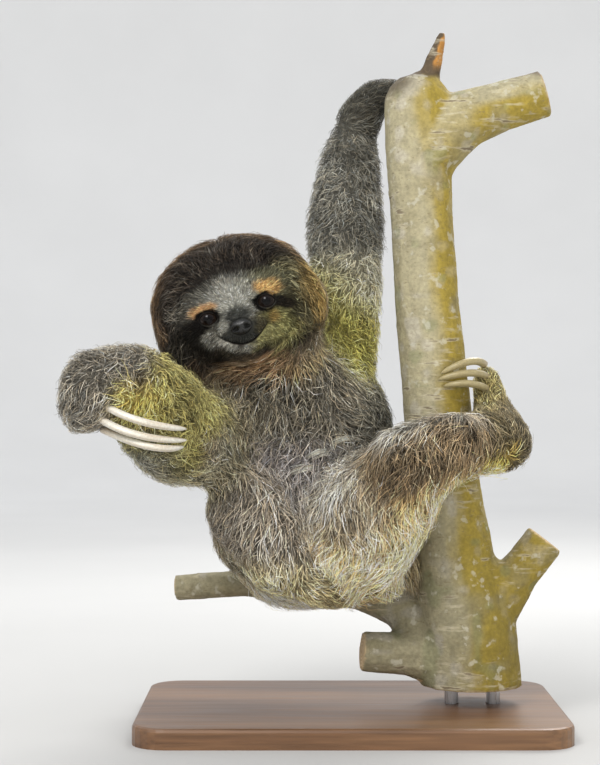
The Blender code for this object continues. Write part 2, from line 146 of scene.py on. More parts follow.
SEAM_BRIDGE = 2.0  # each solid's swelling, which closes the seams between them
SHELL_VOXEL = 2.2
SKIN_VOXEL = 1.9
INSET_STEPS = 8
SHRINKAGE = 1.0  # what the smoothing takes off by itself
MOST_TUFTS = {3: 12000, 2: 19000}  # in a piece, by a tuft's number of lengths
# Where a tuft's stations are along it, how high they stand and how light they are: painted shade darkens
# the root end and painted light brightens the tip. A tuft rises soon after its root, so that the coat keeps
# its depth along ridges, where the hair parts.
STATIONS = {3: (0.16, 0.55, 1.0), 2: (0.3, 1.0)}
RISE = {3: (0.72, 0.97, 1.0), 2: (0.8, 1.0)}
PAINTED_ROOT_SHADE_AND_TIP_LIGHT = {3: (0.4, 0.75, 1.0, 1.2), 2: (0.45, 0.85, 1.15)}
BAKE_PATCH = 0.003
MAP_MARGIN = 0.01
GUARD_SHARE = 0.5  # of the tufts that are guard hairs
LOOSE_SHARE = 0.06  # of the guard hairs that stand out from the coat
RIM_LENGTH = 9  # added to a tuft on the head's rim
LEG_LENGTHENING = 0.25  # for the hair that hangs from the left leg
CROWN_LIFT = 0.25
BACK_THINNING = 0.3  # how much more skin each tuft has to itself behind
ROOT_DEPTH = 0.6  # how far under the skin a tuft starts
BARK_VOXEL = 1.7
EYE_GRID = (40, 56)  # rings and sides
NOSE_GRID = (72, 96)


# Small sums


def unit(vectors):
    return vectors / np.maximum(np.linalg.norm(vectors, axis=-1, keepdims=True), 1e-9)


def across(vectors, normals):
    """The part of each vector that lies in the surface, at unit length."""
    return unit(vectors - normals * np.sum(vectors * normals, axis=1, keepdims=True))


def smoothstep(value, low, high):
    share = np.clip((value - low) / (high - low), 0, 1)
    return share * share * (3 - 2 * share)


def mixed(first, second, amount):
    """first where amount is 0, second where it is 1."""
    amount = np.asarray(amount, float)
    if amount.ndim:
        amount = amount[:, None]
    return first * (1 - amount) + np.asarray(second, float) * amount


def between(first, second, amount):
    """mixed() for one number for each point."""
    return first * (1 - amount) + second * amount


def plain(colour, count):
    """One colour for each of a number of points."""
    return np.tile(np.array(colour), (count, 1))


class Paint:
    """Colours laid one over another on some points."""

    def __init__(self, colour):
        self.colour = colour

    def lay(self, colour, amount):
        self.colour = mixed(self.colour, colour, amount)


def hashed(cells, seed):
    """A repeatable number from 0 to 1 for each whole-numbered cell."""
    value = cells[:, 0] * 73856093 ^ cells[:, 1] * 19349663 ^ cells[:, 2] * 83492791
    value = (value ^ seed * 2654435761) & 0xFFFFFFFF
    for _ in range(2):
        value = (value ^ value >> 16) * 0x45D9F3B & 0xFFFFFFFF
    return (value ^ value >> 16) / 0xFFFFFFFF


def noise(points, size, seed):
    """Smooth noise from -1 to 1 with hills about size across."""
    scaled = points / size
    cells = np.floor(scaled).astype(np.int64)
    part = scaled - cells
    part = part * part * (3 - 2 * part)
    total = np.zeros(len(points))
    for corner in itertools.product((0, 1), repeat=3):
        share = np.prod(np.where(np.array(corner) == 1, part, 1 - part), axis=1)
        total += share * hashed(cells + np.array(corner), seed)
    return total * 2 - 1


def noise_vectors(points, size, seed):
    return np.stack([noise(points, size, seed + i) for i in range(3)], axis=1)


def head_local(points):
    return (points - HEAD_CENTRE) @ HEAD_AXES.T


def head_world(local):
    return local @ HEAD_AXES + HEAD_CENTRE


def nearest_on_line(points, line):
    """The nearest places on a line through some points."""
    line = np.array(line, float)
    best = np.full(len(points), np.inf)
    places = np.zeros((len(points), 3))
    for start, end in zip(line[:-1], line[1:]):
        step = end - start
        share = np.clip((points - start) @ step / (step @ step), 0, 1)
        place = start + share[:, None] * step
        gap = np.linalg.norm(points - place, axis=1)
        nearer = gap < best
        best = np.where(nearer, gap, best)
        places[nearer] = place[nearer]
    return places


def claw_point(row, t):
    base, bend, tip, _ = row
    base, bend, tip = (np.array(p, float) for p in (base, bend, tip))
    t = np.asarray(t, float)[..., None]
    return base * (1 - t) ** 2 + bend * 2 * t * (1 - t) + tip * t**2


# Meshes


def read_points(mesh):
    points = np.empty(len(mesh.vertices) * 3, np.float32)
    mesh.vertices.foreach_get("co", points)
    return points.reshape(-1, 3).astype(float) / MM


def read_mesh(mesh):
    """A mesh's points in mm and its triangles, with points in the same place made one."""
    points = read_points(mesh)
    mesh.calc_loop_triangles()
    triangles = np.empty(len(mesh.loop_triangles) * 3, np.int32)
    mesh.loop_triangles.foreach_get("vertices", triangles)
    _, first, same = np.unique(points.round(3), axis=0, return_index=True, return_inverse=True)
    return points[first], same.reshape(-1)[triangles.reshape(-1, 3)]


def build_mesh(name, points, corners, starts):
    """A mesh from points in mm, the faces' corners in turn and where among them each face starts."""
    mesh = bpy.data.meshes.new(name)
    mesh.vertices.add(points.size // 3)
    mesh.vertices.foreach_set("co", (points * MM).astype(np.float32).ravel())
    mesh.loops.add(corners.size)
    mesh.loops.foreach_set("vertex_index", corners.astype(np.int32).ravel())
    mesh.polygons.add(starts.size)
    mesh.polygons.foreach_set("loop_start", starts.astype(np.int32).ravel())
    mesh.update(calc_edges=True)
    return mesh


def make_mesh(name, points, faces):
    """A mesh from points in mm and an array of faces that all have the same number of corners."""
    return build_mesh(name, points, faces, np.arange(0, faces.size, faces.shape[1]))


def new_object(name, mesh):
    obj = bpy.data.objects.new(name, mesh)
    bpy.context.scene.collection.objects.link(obj)
    return obj


def set_attribute(mesh, name, values):
    """Stores one number or one colour for each point."""
    values = np.asarray(values, np.float32)
    if values.ndim == 1:
        mesh.attributes.new(name, "FLOAT", "POINT").data.foreach_set("value", values)
        return
    colours = np.ones((len(values), 4), np.float32)
    colours[:, :3] = values
    mesh.attributes.new(name, "FLOAT_COLOR", "POINT").data.foreach_set("color", colours.ravel())


def remeshed(points, faces, voxel):
    """The outer surface of some closed shapes as even four-sided faces."""
    work = new_object("work", make_mesh("work", points, faces))
    modifier = work.modifiers.new("remesh", "REMESH")
    modifier.mode = "VOXEL"
    modifier.voxel_size = voxel * MM
    ready = work.evaluated_get(bpy.context.evaluated_depsgraph_get())
    mesh = bpy.data.meshes.new_from_object(ready)
    points = read_points(mesh)
    corners = np.empty(len(mesh.loops), np.int32)
    mesh.loops.foreach_get("vertex_index", corners)
    bpy.data.objects.remove(work, do_unlink=True)
    bpy.data.meshes.remove(mesh)
    return points, corners.reshape(-1, 4)


class Surface:
    """A closed mesh in mm that can be smoothed and knows its normals."""

    def __init__(self, points, faces):
        self.points = points
        self.faces = faces
        corners = [faces[:, [i, (i + 1) % faces.shape[1]]] for i in range(faces.shape[1])]
        edges = np.unique(np.sort(np.concatenate(corners), axis=1), axis=0)
        start = np.concatenate([edges[:, 0], edges[:, 1]])
        self.others = np.concatenate([edges[:, 1], edges[:, 0]])[np.argsort(start, kind="stable")]
        start.sort()
        count = np.bincount(start, minlength=len(points))
        self.first = np.cumsum(count) - count
        self.share = 1 / np.maximum(count, 1)

    def around(self, values):
        """The mean of some values over each point's neighbours."""
        sums = np.add.reduceat(values[self.others], self.first, axis=0)
        return sums * (self.share[:, None] if values.ndim > 1 else self.share)

    def smoothed(self, values, rounds, amount=0.5):
        for _ in range(rounds):
            values = values + (self.around(values) - values) * amount
        return values

    def normals(self):
        corner = self.points[self.faces]
        if self.faces.shape[1] == 4:
            facing = np.cross(corner[:, 2] - corner[:, 0], corner[:, 3] - corner[:, 1])
        else:
            facing = np.cross(corner[:, 1] - corner[:, 0], corner[:, 2] - corner[:, 0])
        total = np.zeros_like(self.points)
        for axis in range(3):
            for side in range(self.faces.shape[1]):
                total[:, axis] += np.bincount(
                    self.faces[:, side], weights=facing[:, axis], minlength=len(self.points)
                )
        return unit(total)


def nearest_rows(points, places):
    """For each point, the number of the nearest place."""
    tree = KDTree(len(places))
    for i, place in enumerate(places):
        tree.insert(place, i)
    tree.balance()
    return np.array([tree.find(p)[1] for p in points])


# The skin


def dome(x, z, centre, radii):
    """How far forward the front of an egg shape stands, falling steadily away outside its outline."""
    inside = 1 - ((x - centre[0]) / radii[0]) ** 2 - ((z - centre[2]) / radii[2]) ** 2
    return centre[1] + radii[1] * (np.sqrt(np.maximum(inside, 0)) + 0.8 * np.minimum(inside, 0))


def soft_highest(heights, softness):
    heights = np.stack(heights)
    top = heights.max(0)
    return top + softness * np.log(np.exp((heights - top) / softness).sum(0))


def hill(x, z, centre, radii):
    return np.exp(-(((x - centre[0]) / radii[0]) ** 2) - ((z - centre[1]) / radii[1]) ** 2)


def mouth_line(x):
    return -22.5 + 0.034 * x**2


def lid_measure(x, z):
    """0 at the middle of the nearer eye and 1 along its lids' edge."""
    beside, above = x - np.where(x < 0, -EYE[0], EYE[0]), z - EYE[2]
    along = (beside * math.cos(LID_TURN) + above * math.sin(LID_TURN)) / LID_OPENING[0]
    over = (above * math.cos(LID_TURN) - beside * math.sin(LID_TURN)) / LID_OPENING[1]
    return np.sqrt(along**2 + over**2 * (1 + 0.35 * along**2))


def face_forward(x, z):
    """How far forward of the head's centre the bare face stands."""
    face = soft_highest(
        [
            dome(x, z, (CROWN[0], 0, CROWN[1]), (57, 43.5, 43)),
            dome(x, z, (0, 37.5, -12.5), (15.5, 12.3, 9.5)),
            dome(x, z, (0, 35, -20.5), (19.5, 11.5, 8.5)),
            dome(x, z, (0, 24, -27), (20, 14.5, 8)),
        ],
        1.6,
    )
    side = np.abs(x)
    face += 1.6 * hill(side, z, (19, 9.5), (11, 5))  # brows
    face += 1.4 * hill(x, z, (0, 2), (6, 11))  # bridge of the nose
    face -= 1.5 * hill(side, z, (19, -1), (13, 9))  # the eyes' hollows
    face -= 1.8 * np.exp(-(((z - mouth_line(x)) / 1.0) ** 2)) * smoothstep(19 - side, 0, 4)
    # The lids lie on the eyeball near their edge, with a fold a little way out
    measure = lid_measure(x, z)
    reach = np.hypot(side - EYE[0], z - EYE[2])
    ball = EYE[1] + np.sqrt(np.maximum(EYE_RADIUS**2 - reach**2, 0.5))
    face = ball + 0.7 + (face - ball - 0.7) * smoothstep(measure, 1.12, 2.1)
    face -= 0.5 * np.exp(-(((measure - 1.5) / 0.12) ** 2))
    return np.where(measure < 0.99, EYE[1] - 1.0, face)


def face_reach(x, z):
    """0 at the middle of the face and 1 at its edge."""
    return np.hypot(x / FACE_RADII[0], (z + 1) / FACE_RADII[1])


def face_share(local):
    """1 on the face, 0 elsewhere on the head and body."""
    span = face_reach(local[:, 0], local[:, 2])
    return (1 - smoothstep(span, 0.75, 1.05)) * smoothstep(local[:, 1], 8, 20)


def join_solids(nodes):
    """All the solids of flesh, swollen so that their seams close, and which one each face is of."""
    points, faces, owners, count = [], [], [], 0
    for number, name in enumerate([*FLESH, "eye_left", "eye_right", "nose"]):
        own_points, own_faces = read_mesh(nodes[name].data)
        swollen = own_points + Surface(own_points, own_faces).normals() * SEAM_BRIDGE
        points.append(swollen)
        faces.append(own_faces + count)
        owners += [min(number, len(FLESH)) % len(FLESH)] * len(own_faces)
        count += len(own_points)
    return np.concatenate(points), np.concatenate(faces), np.array(owners)


def part_shares(shell, points, faces, owners):
    """How much each point of the shell belongs to each part: rows that add up to 1."""
    tree = BVHTree.FromPolygons(points.tolist(), faces.tolist())
    nearest = np.array([tree.find_nearest(p)[2] for p in shell.points])
    shares = np.zeros((len(shell.points), len(FLESH)))
    shares[np.arange(len(shell.points)), owners[nearest]] = 1
    return shell.smoothed(shares, 24)


def inset(shell, depth):
    """Moves the shell inwards by a depth for each point, in steps that keep it even."""
    for _ in range(INSET_STEPS):
        shell.points = shell.points - shell.normals() * (depth / INSET_STEPS)[:, None]
        shell.points = shell.smoothed(shell.points, 2, 0.4)


def subdivide_face(points, faces):
    """Smaller faces on the face: halved once over all of it and again round the eyes and muzzle."""
    shape = bmesh.new()
    mesh = make_mesh("skin", points, faces)
    shape.from_mesh(mesh)
    bpy.data.meshes.remove(mesh)
    for reach in (1.0, 0.78):
        places = np.array([v.co for v in shape.verts]) / MM
        local = head_local(places)
        span = face_reach(local[:, 0], local[:, 2])
        chosen = (span < reach) & (local[:, 1] > 12)
        edges = [e for e in shape.edges if chosen[e.verts[0].index] and chosen[e.verts[1].index]]
        bmesh.ops.subdivide_edges(shape, edges=edges, cuts=1, use_grid_fill=True)
        shape.verts.index_update()
    bmesh.ops.triangulate(shape, faces=shape.faces)
    points = np.array([v.co for v in shape.verts]) / MM
    faces = np.array([[v.index for v in f.verts] for f in shape.faces])
    shape.free()
    return points, faces


def shape_face(skin):
    """Presses the face's relief into the skin."""
    for _ in range(8):
        local = head_local(skin.points)
        share = face_share(local)[:, None]
        even = head_local(skin.smoothed(skin.points, 1, 0.5))
        local = local + (even - local) * share
        forward = face_forward(local[:, 0], local[:, 2])
        local[:, 1] += (forward - local[:, 1]) * share[:, 0]
        skin.points = head_world(local)
    # Points near the lids' edge move onto it, so that the edge is clean
    local = head_local(skin.points)
    side = np.sign(local[:, 0])
    measure = lid_measure(local[:, 0], local[:, 2])
    near = (np.abs(measure - 1.03) < 0.06) & (local[:, 1] > 25)
    for axis, middle in ((0, side * EYE[0]), (2, np.full(len(side), EYE[2]))):
        onto = middle + (local[:, axis] - middle) * 1.03 / np.maximum(measure, 0.1)
        local[:, axis] = np.where(near, onto, local[:, axis])
    forward = face_forward(local[:, 0], local[:, 2])
    local[:, 1] = np.where(near, forward, local[:, 1])
    skin.points = head_world(local)


def make_skin(nodes):
    """The bare skin as a Surface, with each point's part shares and the coat's room over it."""
    points, faces, owners = join_solids(nodes)
    shell = Surface(*remeshed(points, faces, SHELL_VOXEL))
    outline = BVHTree.FromPolygons(shell.points.tolist(), shell.faces.tolist())
    shares = part_shares(shell, points, faces, owners)
    depth = shell.smoothed(shares @ np.array([COAT[name].depth for name in FLESH], float), 10)
    on_face = face_share(head_local(shell.points))
    depth = between(depth, FACE.depth, on_face)
    inset(shell, depth + SEAM_BRIDGE - SHRINKAGE)
    points, faces = remeshed(shell.points, shell.faces, SKIN_VOXEL)
    skin = Surface(points, faces)
    skin.points = skin.smoothed(skin.points, 3)
    skin = Surface(*subdivide_face(skin.points, skin.faces))
    shape_face(skin)
    rows = nearest_rows(skin.points, shell.points)
    room = np.array([outline.find_nearest(p)[3] for p in skin.points]) - SEAM_BRIDGE
    return skin, shares[rows], np.clip(skin.smoothed(room, 12), 1.5, 16)


# Markings, with painted light and shade in places, as linear red, green and blue

MOUSE_BROWN = (0.04, 0.031, 0.0235)
FROST = (0.7, 0.69, 0.6)
GOLD = (0.27, 0.185, 0.068)
COLLAR = (0.33, 0.195, 0.1)
NEAR_BLACK = (0.016, 0.013, 0.011)
ORANGE = (1.3, 0.79, 0.31)


def oval(x, z, centre, radii, soft=0.35, turn=0.0):
    """1 inside an oval turned by some degrees, falling softly to 0 at its edge."""
    angle = math.radians(turn)
    right, above = x - centre[0], z - centre[1]
    along = right * math.cos(angle) + above * math.sin(angle)
    over = above * math.cos(angle) - right * math.sin(angle)
    return 1 - smoothstep(np.hypot(along / radii[0], over / radii[1]), 1 - soft, 1 + soft)


def crown_reach(x, z):
    """0 at the middle of the head's outline and 1 on it."""
    return np.hypot((x - CROWN[0]) / CROWN_RADII[0], (z - CROWN[1]) / CROWN_RADII[1])


def head_colours(points):
    """The head's markings, with a painted shadow under the chin and a painted highlight on the lower lids,
    laid on from the crown down to the mouth.
    """
    local = head_local(points)
    ragged = noise_vectors(points, 5.0, 40) * 1.3 + noise_vectors(points, 2.0, 50) * 0.6
    x, forward, z = (local + ragged).T
    speck = noise(points, 2.5, 60)
    paint = Paint(plain(MOUSE_BROWN, len(points)))
    paint.lay((0.16, 0.145, 0.115), smoothstep(speck, 0.1, 0.8) * 0.5)
    edge = smoothstep(crown_reach(x, z), 0.76, 0.98)
    paint.lay((0.23, 0.135, 0.065), edge * smoothstep(z, 0, 30))
    paint.lay((0.12, 0.075, 0.04), edge * smoothstep(-x, 30, 45))
    paint.lay((0.13, 0.115, 0.062), oval(x, z, (38, 4), (12, 22)))
    paint.lay(GOLD, smoothstep(x - 0.15 * np.abs(z - 8), 39, 47))
    # The collar comes up round the chin
    paint.lay(COLLAR, smoothstep(-z, 29, 33))
    paint.lay((0.07, 0.055, 0.035), smoothstep(-z, 26, 33) * smoothstep(-x, 14, 28))
    # The pale mask
    paint.lay((0.3, 0.29, 0.24), oval(x, z, (-9, 8), (27, 12), 0.5) * 0.85)
    paint.lay((0.36, 0.35, 0.21), oval(x, z, (19, 11), (18, 9), 0.5) * 0.85)
    paint.lay((0.5, 0.49, 0.42), oval(x, z, (-11, -9), (5, 7), 0.5))
    paint.lay(FROST, oval(x, z, (-1, 6), (17, 14), 0.6))
    paint.lay((0.45, 0.435, 0.37), oval(x, z, (-21, -13), (8, 6), 0.4))
    paint.lay((0.6, 0.56, 0.23), oval(x, z, (21, -16), (12, 11), 0.45))
    # The chin's pale band follows the mouth, with a dark gap of painted shadow under the chin between it
    # and the collar
    below = mouth_line(np.clip(x, -19, 20)) - z
    gap = smoothstep(below, 7, 9.5) * (1 - smoothstep(below, 11, 15)) * smoothstep(x, -24, -14)
    paint.lay((0.13, 0.11, 0.075), gap * (1 - smoothstep(x, 4, 14)) * 0.8)
    chin = smoothstep(below, 0.5, 2.5) * (1 - smoothstep(below, 4, 9))
    chin_colour = mixed(plain((0.58, 0.56, 0.48), len(x)), (0.6, 0.56, 0.25), smoothstep(x, -1, 7))
    paint.lay(chin_colour, chin * smoothstep(x, -29, -22) * (1 - smoothstep(x, 20, 28)))
    # Orange over the eyes
    paint.lay(ORANGE, oval(x, z, (23.2, 8.8), (9.3, 5.2), 0.3, -14))
    paint.lay((1.2, 0.7, 0.34), oval(x, z, (-22, 6.2), (9.2, 4.2), 0.3, 2))
    paint.lay((0.75, 0.52, 0.18), oval(x, z, (21.5, -9.8), (4.5, 3.8), 0.5))
    # Dark stripes out from the eyes, and the dark cheek
    paint.lay((0.035, 0.027, 0.018), oval(x, z, (31, -3), (7.5, 3.9), 0.25, -20))
    paint.lay(NEAR_BLACK, oval(x, z, (-32, -4), (12, 6), 0.3, 14))
    paint.lay((0.03, 0.026, 0.02), oval(x, z, (-43, -11), (13, 12), 0.35))
    patches = np.maximum(
        oval(x, z, (-20.6, 1.0), (9.4, 5.6), 0.14, -8),
        oval(x, z, (19.2, 0.3), (8.9, 6.1), 0.14, -8),
    )
    paint.lay(NEAR_BLACK, patches)
    # A painted highlight: a pale line along the wet edge of each lower lid
    rim = np.exp(-(((lid_measure(local[:, 0], local[:, 2]) - 1.13) / 0.08) ** 2))
    rim *= smoothstep(-local[:, 2], 0.5, 3)
    paint.lay((0.12, 0.115, 0.1), rim * 0.7)
    # The muzzle: grey on the bridge, olive-brown to the left, dark round the nose, and the mouth's line
    above_mouth = smoothstep(z - mouth_line(x), -1.0, 0.8)
    paint.lay((0.13, 0.132, 0.118), oval(x, z, (-1, -3), (8.5, 5.5), 0.4))
    paint.lay((0.085, 0.085, 0.073), oval(x, z, (0.5, -17), (17.5, 8), 0.25) * above_mouth)
    paint.lay((0.15, 0.13, 0.075), oval(x, z, (12, -13.5), (6, 6.5), 0.45) * above_mouth * 0.9)
    paint.lay((0.06, 0.06, 0.053), oval(x, z, (-0.6, -12), (8.8, 7), 0.25))
    mouth = np.exp(-(((local[:, 2] - mouth_line(local[:, 0])) / 1.1) ** 2))
    paint.lay(NEAR_BLACK, mouth * smoothstep(19.5 - np.abs(local[:, 0]), 0, 3))
    # Behind the face the head is plain
    return mixed(plain((0.2, 0.165, 0.11), len(points)), paint.colour, smoothstep(forward, -6, 10))


def leg_rise(points):
    """How far above the left leg's middle line some places are."""
    line = AXES["thigh_left"] + AXES["shank_left"][1:]
    return points[:, 2] - nearest_on_line(points, line)[:, 2]


def markings_with_painted_light_and_shade(points, shares):
    """The coat's colour at some places on the skin: its markings, with painted light and shade in places.
    """
    share = {name: shares[:, i] for i, name in enumerate(FLESH)}
    x, y, z = points.T
    paint = Paint(shares @ np.array([COAT[name].colour for name in FLESH]))
    back = smoothstep(y, 12, 40)
    trunk = share["chest"] + share["belly"] + share["tail"]
    paint.lay((0.22, 0.195, 0.15), trunk * back * 0.8)
    blotch = smoothstep(noise(points, 26, 70), 0.15, 0.6)
    paint.lay((0.52, 0.48, 0.38), trunk * back * blotch * 0.7)
    # Belly: warm and pale below, and brighter still there as painted light on hair that faces down
    paint.lay((1.3, 1.1, 0.68), share["belly"] * (1 - back) * smoothstep(-z, -142, -100))
    paint.lay((0.16, 0.152, 0.118), share["chest"] * (1 - back) * smoothstep(x, -20, 20))
    # Collar: orange-brown under the face, golden to its left, greyer behind
    local = head_local(points)
    reach = crown_reach(local[:, 0], local[:, 2]) - 0.2 * smoothstep(local[:, 0], 5, 30)
    band = 1 - smoothstep(reach + 0.06 * noise(points, 6, 75), 1.14, 1.34)
    band *= smoothstep(-y, 0, 25)
    ring = mixed(plain(COLLAR, len(points)), (0.34, 0.26, 0.13), smoothstep(local[:, 0], 12, 34))
    paint.lay(ring, band * np.clip(share["neck"] + share["chest"], 0, 1))
    # Raised arm: greenish below, dark at the hand
    arm = share["upper_arm_left"]
    tilted = z + 0.7 * x + 6 * noise(points, 12, 76)
    behind = smoothstep(y - nearest_on_line(points, AXES["upper_arm_left"])[:, 1], -2, 16)
    lit = (1 - smoothstep(tilted, 285, 335)) * (1 - 0.7 * behind)
    paint.lay((0.5, 0.45, 0.125), arm * lit)
    paint.lay((0.3, 0.28, 0.22), arm * behind * 0.6)
    # Folded arm: yellow inside, grey on its far and lower sides
    arm = share["forearm_right"]
    paint.lay((0.3, 0.25, 0.18), arm * smoothstep(x, -112, -98) * smoothstep(-z, -222, -205))
    paint.lay((0.32, 0.315, 0.28), arm * smoothstep(-z, -216, -192) * smoothstep(-x, 110, 140))
    paint.lay((0.32, 0.29, 0.2), arm * smoothstep(y, -95, -60))
    wrist = np.exp(-(((x + 140) / 13) ** 4) - ((z - 233) / 13) ** 4)
    arm = np.clip(arm + share["hand_right"], 0, 1)
    paint.lay((0.4, 0.35, 0.13), arm * smoothstep(x, -138, -128) * oval(x, z, (-117, 241), (39, 28), 0.35))
    behind = smoothstep(y - nearest_on_line(points, AXES["forearm_right"])[:, 1], 0, 18)
    paint.lay((0.3, 0.28, 0.2), arm * behind * 0.8)
    paint.lay((0.95, 0.76, 0.22), arm * wrist * smoothstep(-y, 95, 125))
    # Painted shade: a dark line in the crease beside the wrist
    painted_cleft_shade = oval(x, z, (-138.5, 246), (3.5, 8), 0.5) * smoothstep(-y, 95, 125)
    paint.lay((0.09, 0.065, 0.03), arm * painted_cleft_shade * 0.85)
    paint.lay((0.8, 0.67, 0.37), share["shank_right"] * (1 - smoothstep(z, 106, 136)))
    # Left leg: greyish ridge, brown middle, golden fringe, which faces down and is brightened further as
    # painted light
    leg = share["thigh_left"] + share["shank_left"]
    rise = leg_rise(points)
    paint.lay((0.49, 0.46, 0.39), leg * smoothstep(rise, 12, 22))
    paint.lay((0.5, 0.46, 0.38), share["thigh_left"] * smoothstep(rise, 2, 14))
    paint.lay((1.3, 0.92, 0.44), leg * smoothstep(-rise, 5, 18))
    heel = smoothstep(x, 84, 100)
    paint.lay((0.11, 0.088, 0.048), leg * heel * smoothstep(rise, -12, 0))
    # Golden hair below the heel, brightened further as painted light on hair that faces down
    paint.lay((1.4, 1.02, 0.24), (leg + share["foot_left"]) * heel * smoothstep(-z, -203, -194))
    dark_heel = smoothstep(x, 97, 107) * smoothstep(z, 197, 205) * (1 - smoothstep(z, 224, 240))
    paint.lay((0.25, 0.2, 0.105), share["foot_left"] * dark_heel * 0.9)
    paint.lay((0.2, 0.165, 0.1), share["foot_left"] * smoothstep(-z, -232, -215))
    head = head_colours(points)
    paint.lay(head, np.clip((share["head"] + share["muzzle"]) * 1.6, 0, 1))
    patchy = 1 + 0.22 * noise(points, 14, 80) + 0.16 * noise(points, 5, 90)
    return np.clip(paint.colour * patchy[:, None], 0.004, 1.4)


# The lie of the coat


def falling(points, line, spread):
    """Downwards, and away from the middle line, as hair falls to both sides of a ridge."""
    away = points - nearest_on_line(points, line)
    away[:, 2] = 0
    return DOWN + unit(away) * spread


def head_lie(points):
    """Out from the bridge of the nose over the face, turning to run down round the head's rim."""
    x, forward, z = head_local(points).T
    reach = np.maximum(np.hypot(x, z + 2), 1e-6)
    out = np.stack([x, np.zeros_like(x), z + 2], axis=1) / reach[:, None]
    round_it = np.stack([np.abs(z) * np.sign(x), np.zeros_like(x), -np.abs(x)], axis=1)
    turned = smoothstep(crown_reach(x, z), 0.62, 0.88) * 0.85
    lie = mixed(out, unit(round_it), turned)
    lie[:, 1] -= 0.25 + 0.5 * smoothstep(-forward, -20, 10)
    lie[:, 2] -= 0.8 * smoothstep(-forward, -10, 15)
    return mixed(lie @ HEAD_AXES, ring_lie(points), smoothstep(-z, 25, 29))


def ring_lie(points):
    """Down the left side of the face and on to the right under the chin."""
    x, _, z = head_local(points).T
    x, z = x - CROWN[0], z - CROWN[1]
    sweep = np.stack([z, np.zeros_like(x), -np.abs(x)], axis=1)
    return unit(sweep) @ HEAD_AXES


def round_face(points, lie, near, far):
    """A lie that turns to run round the face close to it."""
    x, _, z = head_local(points).T
    share = (1 - smoothstep(crown_reach(x, z), near, far)) * smoothstep(-points[:, 1], -10, 25)
    return mixed(lie, ring_lie(points), share)


def collar_lie(points):
    """Round the face close to it and down elsewhere."""
    fall = DOWN + 0.6 * unit(points - np.array([-55.0, 0.0, 280.0]))
    return round_face(points, fall, 1.2, 1.45)


def chest_lie(points):
    """Fanning out from the throat in front, straight down behind."""
    fan = points - np.array([-48.0, -10.0, 285.0])
    fan[:, 1] = 0
    lie = mixed(unit(fan) + DOWN * 0.35, falling(points, SPINE, 0.5), smoothstep(points[:, 1], 5, 30))
    return round_face(points, lie, 1.15, 1.4)


def belly_lie(points):
    """Down, turning in towards the middle under the flank."""
    x, _, z = points.T
    lie = falling(points, SPINE, 0.25)
    lie[:, 0] += 0.9 * smoothstep(-z, -165, -125) * smoothstep(-x, 10, 50)
    lie[:, 0] -= 0.35 * smoothstep(z, 150, 185) * smoothstep(-x, 20, 60)
    return lie


def towards(points, place):
    return unit(np.array(place, float) - points)


def lie_of_part(name, points):
    """Which way the coat of one part lies, before it is pressed onto the skin."""
    line = AXES[name]
    if name in ("head", "muzzle"):
        return head_lie(points)
    if name == "neck":
        return collar_lie(points)
    if name == "chest":
        return chest_lie(points)
    if name == "belly":
        return belly_lie(points)
    if name == "hand_right":
        return unit(points - np.array([-128.0, -140.0, 262.0])) + 0.5 * DOWN
    if name in ("hand_left", "foot_left", "foot_right"):
        return unit(np.subtract(line[-1], line[0]).astype(float)) + 0.15 * unit(points - line[-1])
    return falling(points, line, 0.9)


def lie_of_coat(skin, shares, normals):
    """The coat's direction at each point of the skin."""
    lie = np.zeros_like(skin.points)
    for i, name in enumerate(FLESH):
        rows = np.flatnonzero(shares[:, i] > 0.01)
        lie[rows] += shares[rows, i, None] * unit(lie_of_part(name, skin.points[rows]))
    swirl = np.clip(shares @ np.array([0.25 + COAT[name].frizz * 0.3 for name in FLESH]), 0, 1)
    on_face = face_share(head_local(skin.points))
    swirl = swirl * (1 - on_face * 0.8)
    lie += noise_vectors(skin.points, 30, 100) * swirl[:, None]
    lie = across(lie, normals)
    for _ in range(4):
        lie = across(skin.smoothed(lie, 1), normals)
    return lie


# Tufts


class Ground:
    """The skin as the coat needs it: its shape, lie, parts and the room over it."""

    def __init__(self, skin, shares, room):
        self.points = skin.points
        self.faces = skin.faces
        self.shares = shares
        self.room = room
        self.normals = skin.normals()
        self.lie = lie_of_coat(skin, shares, self.normals)
        self.tree = BVHTree.FromPolygons(self.points.tolist(), self.faces.tolist())

    def nearest(self, places):
        """The nearest places on the skin, with the normals and the coat's lie there."""
        found = [self.tree.find_nearest(p) for p in places]
        on_skin = np.array([f[0] for f in found])
        corners = self.faces[[f[2] for f in found]]
        return on_skin, unit(self.normals[corners].sum(1)), unit(self.lie[corners].sum(1))


def by_part(shares, column):
    return shares @ np.array([getattr(COAT[name], column) for name in FLESH], float)


def bare(places):
    """Where no tuft grows: on the eyes, the nose, the mouth's line and the claws."""
    x, forward, z = head_local(places).T
    front = forward > 25
    naked = front & (lid_measure(x, z) < 1.3)
    naked |= front & (np.hypot(x / NOSE_RADII[0], (z - NOSE[2]) / NOSE_RADII[2]) < 1.02)
    naked |= front & (np.abs(z - mouth_line(x)) < 1.0) & (np.abs(x) < 17)
    for row in itertools.chain(*CLAWS.values()):
        steps = claw_point(row, np.linspace(0.15, 1, 12))
        naked |= np.linalg.norm(places - nearest_on_line(places, steps), axis=1) < row[3] * 0.9
    return naked


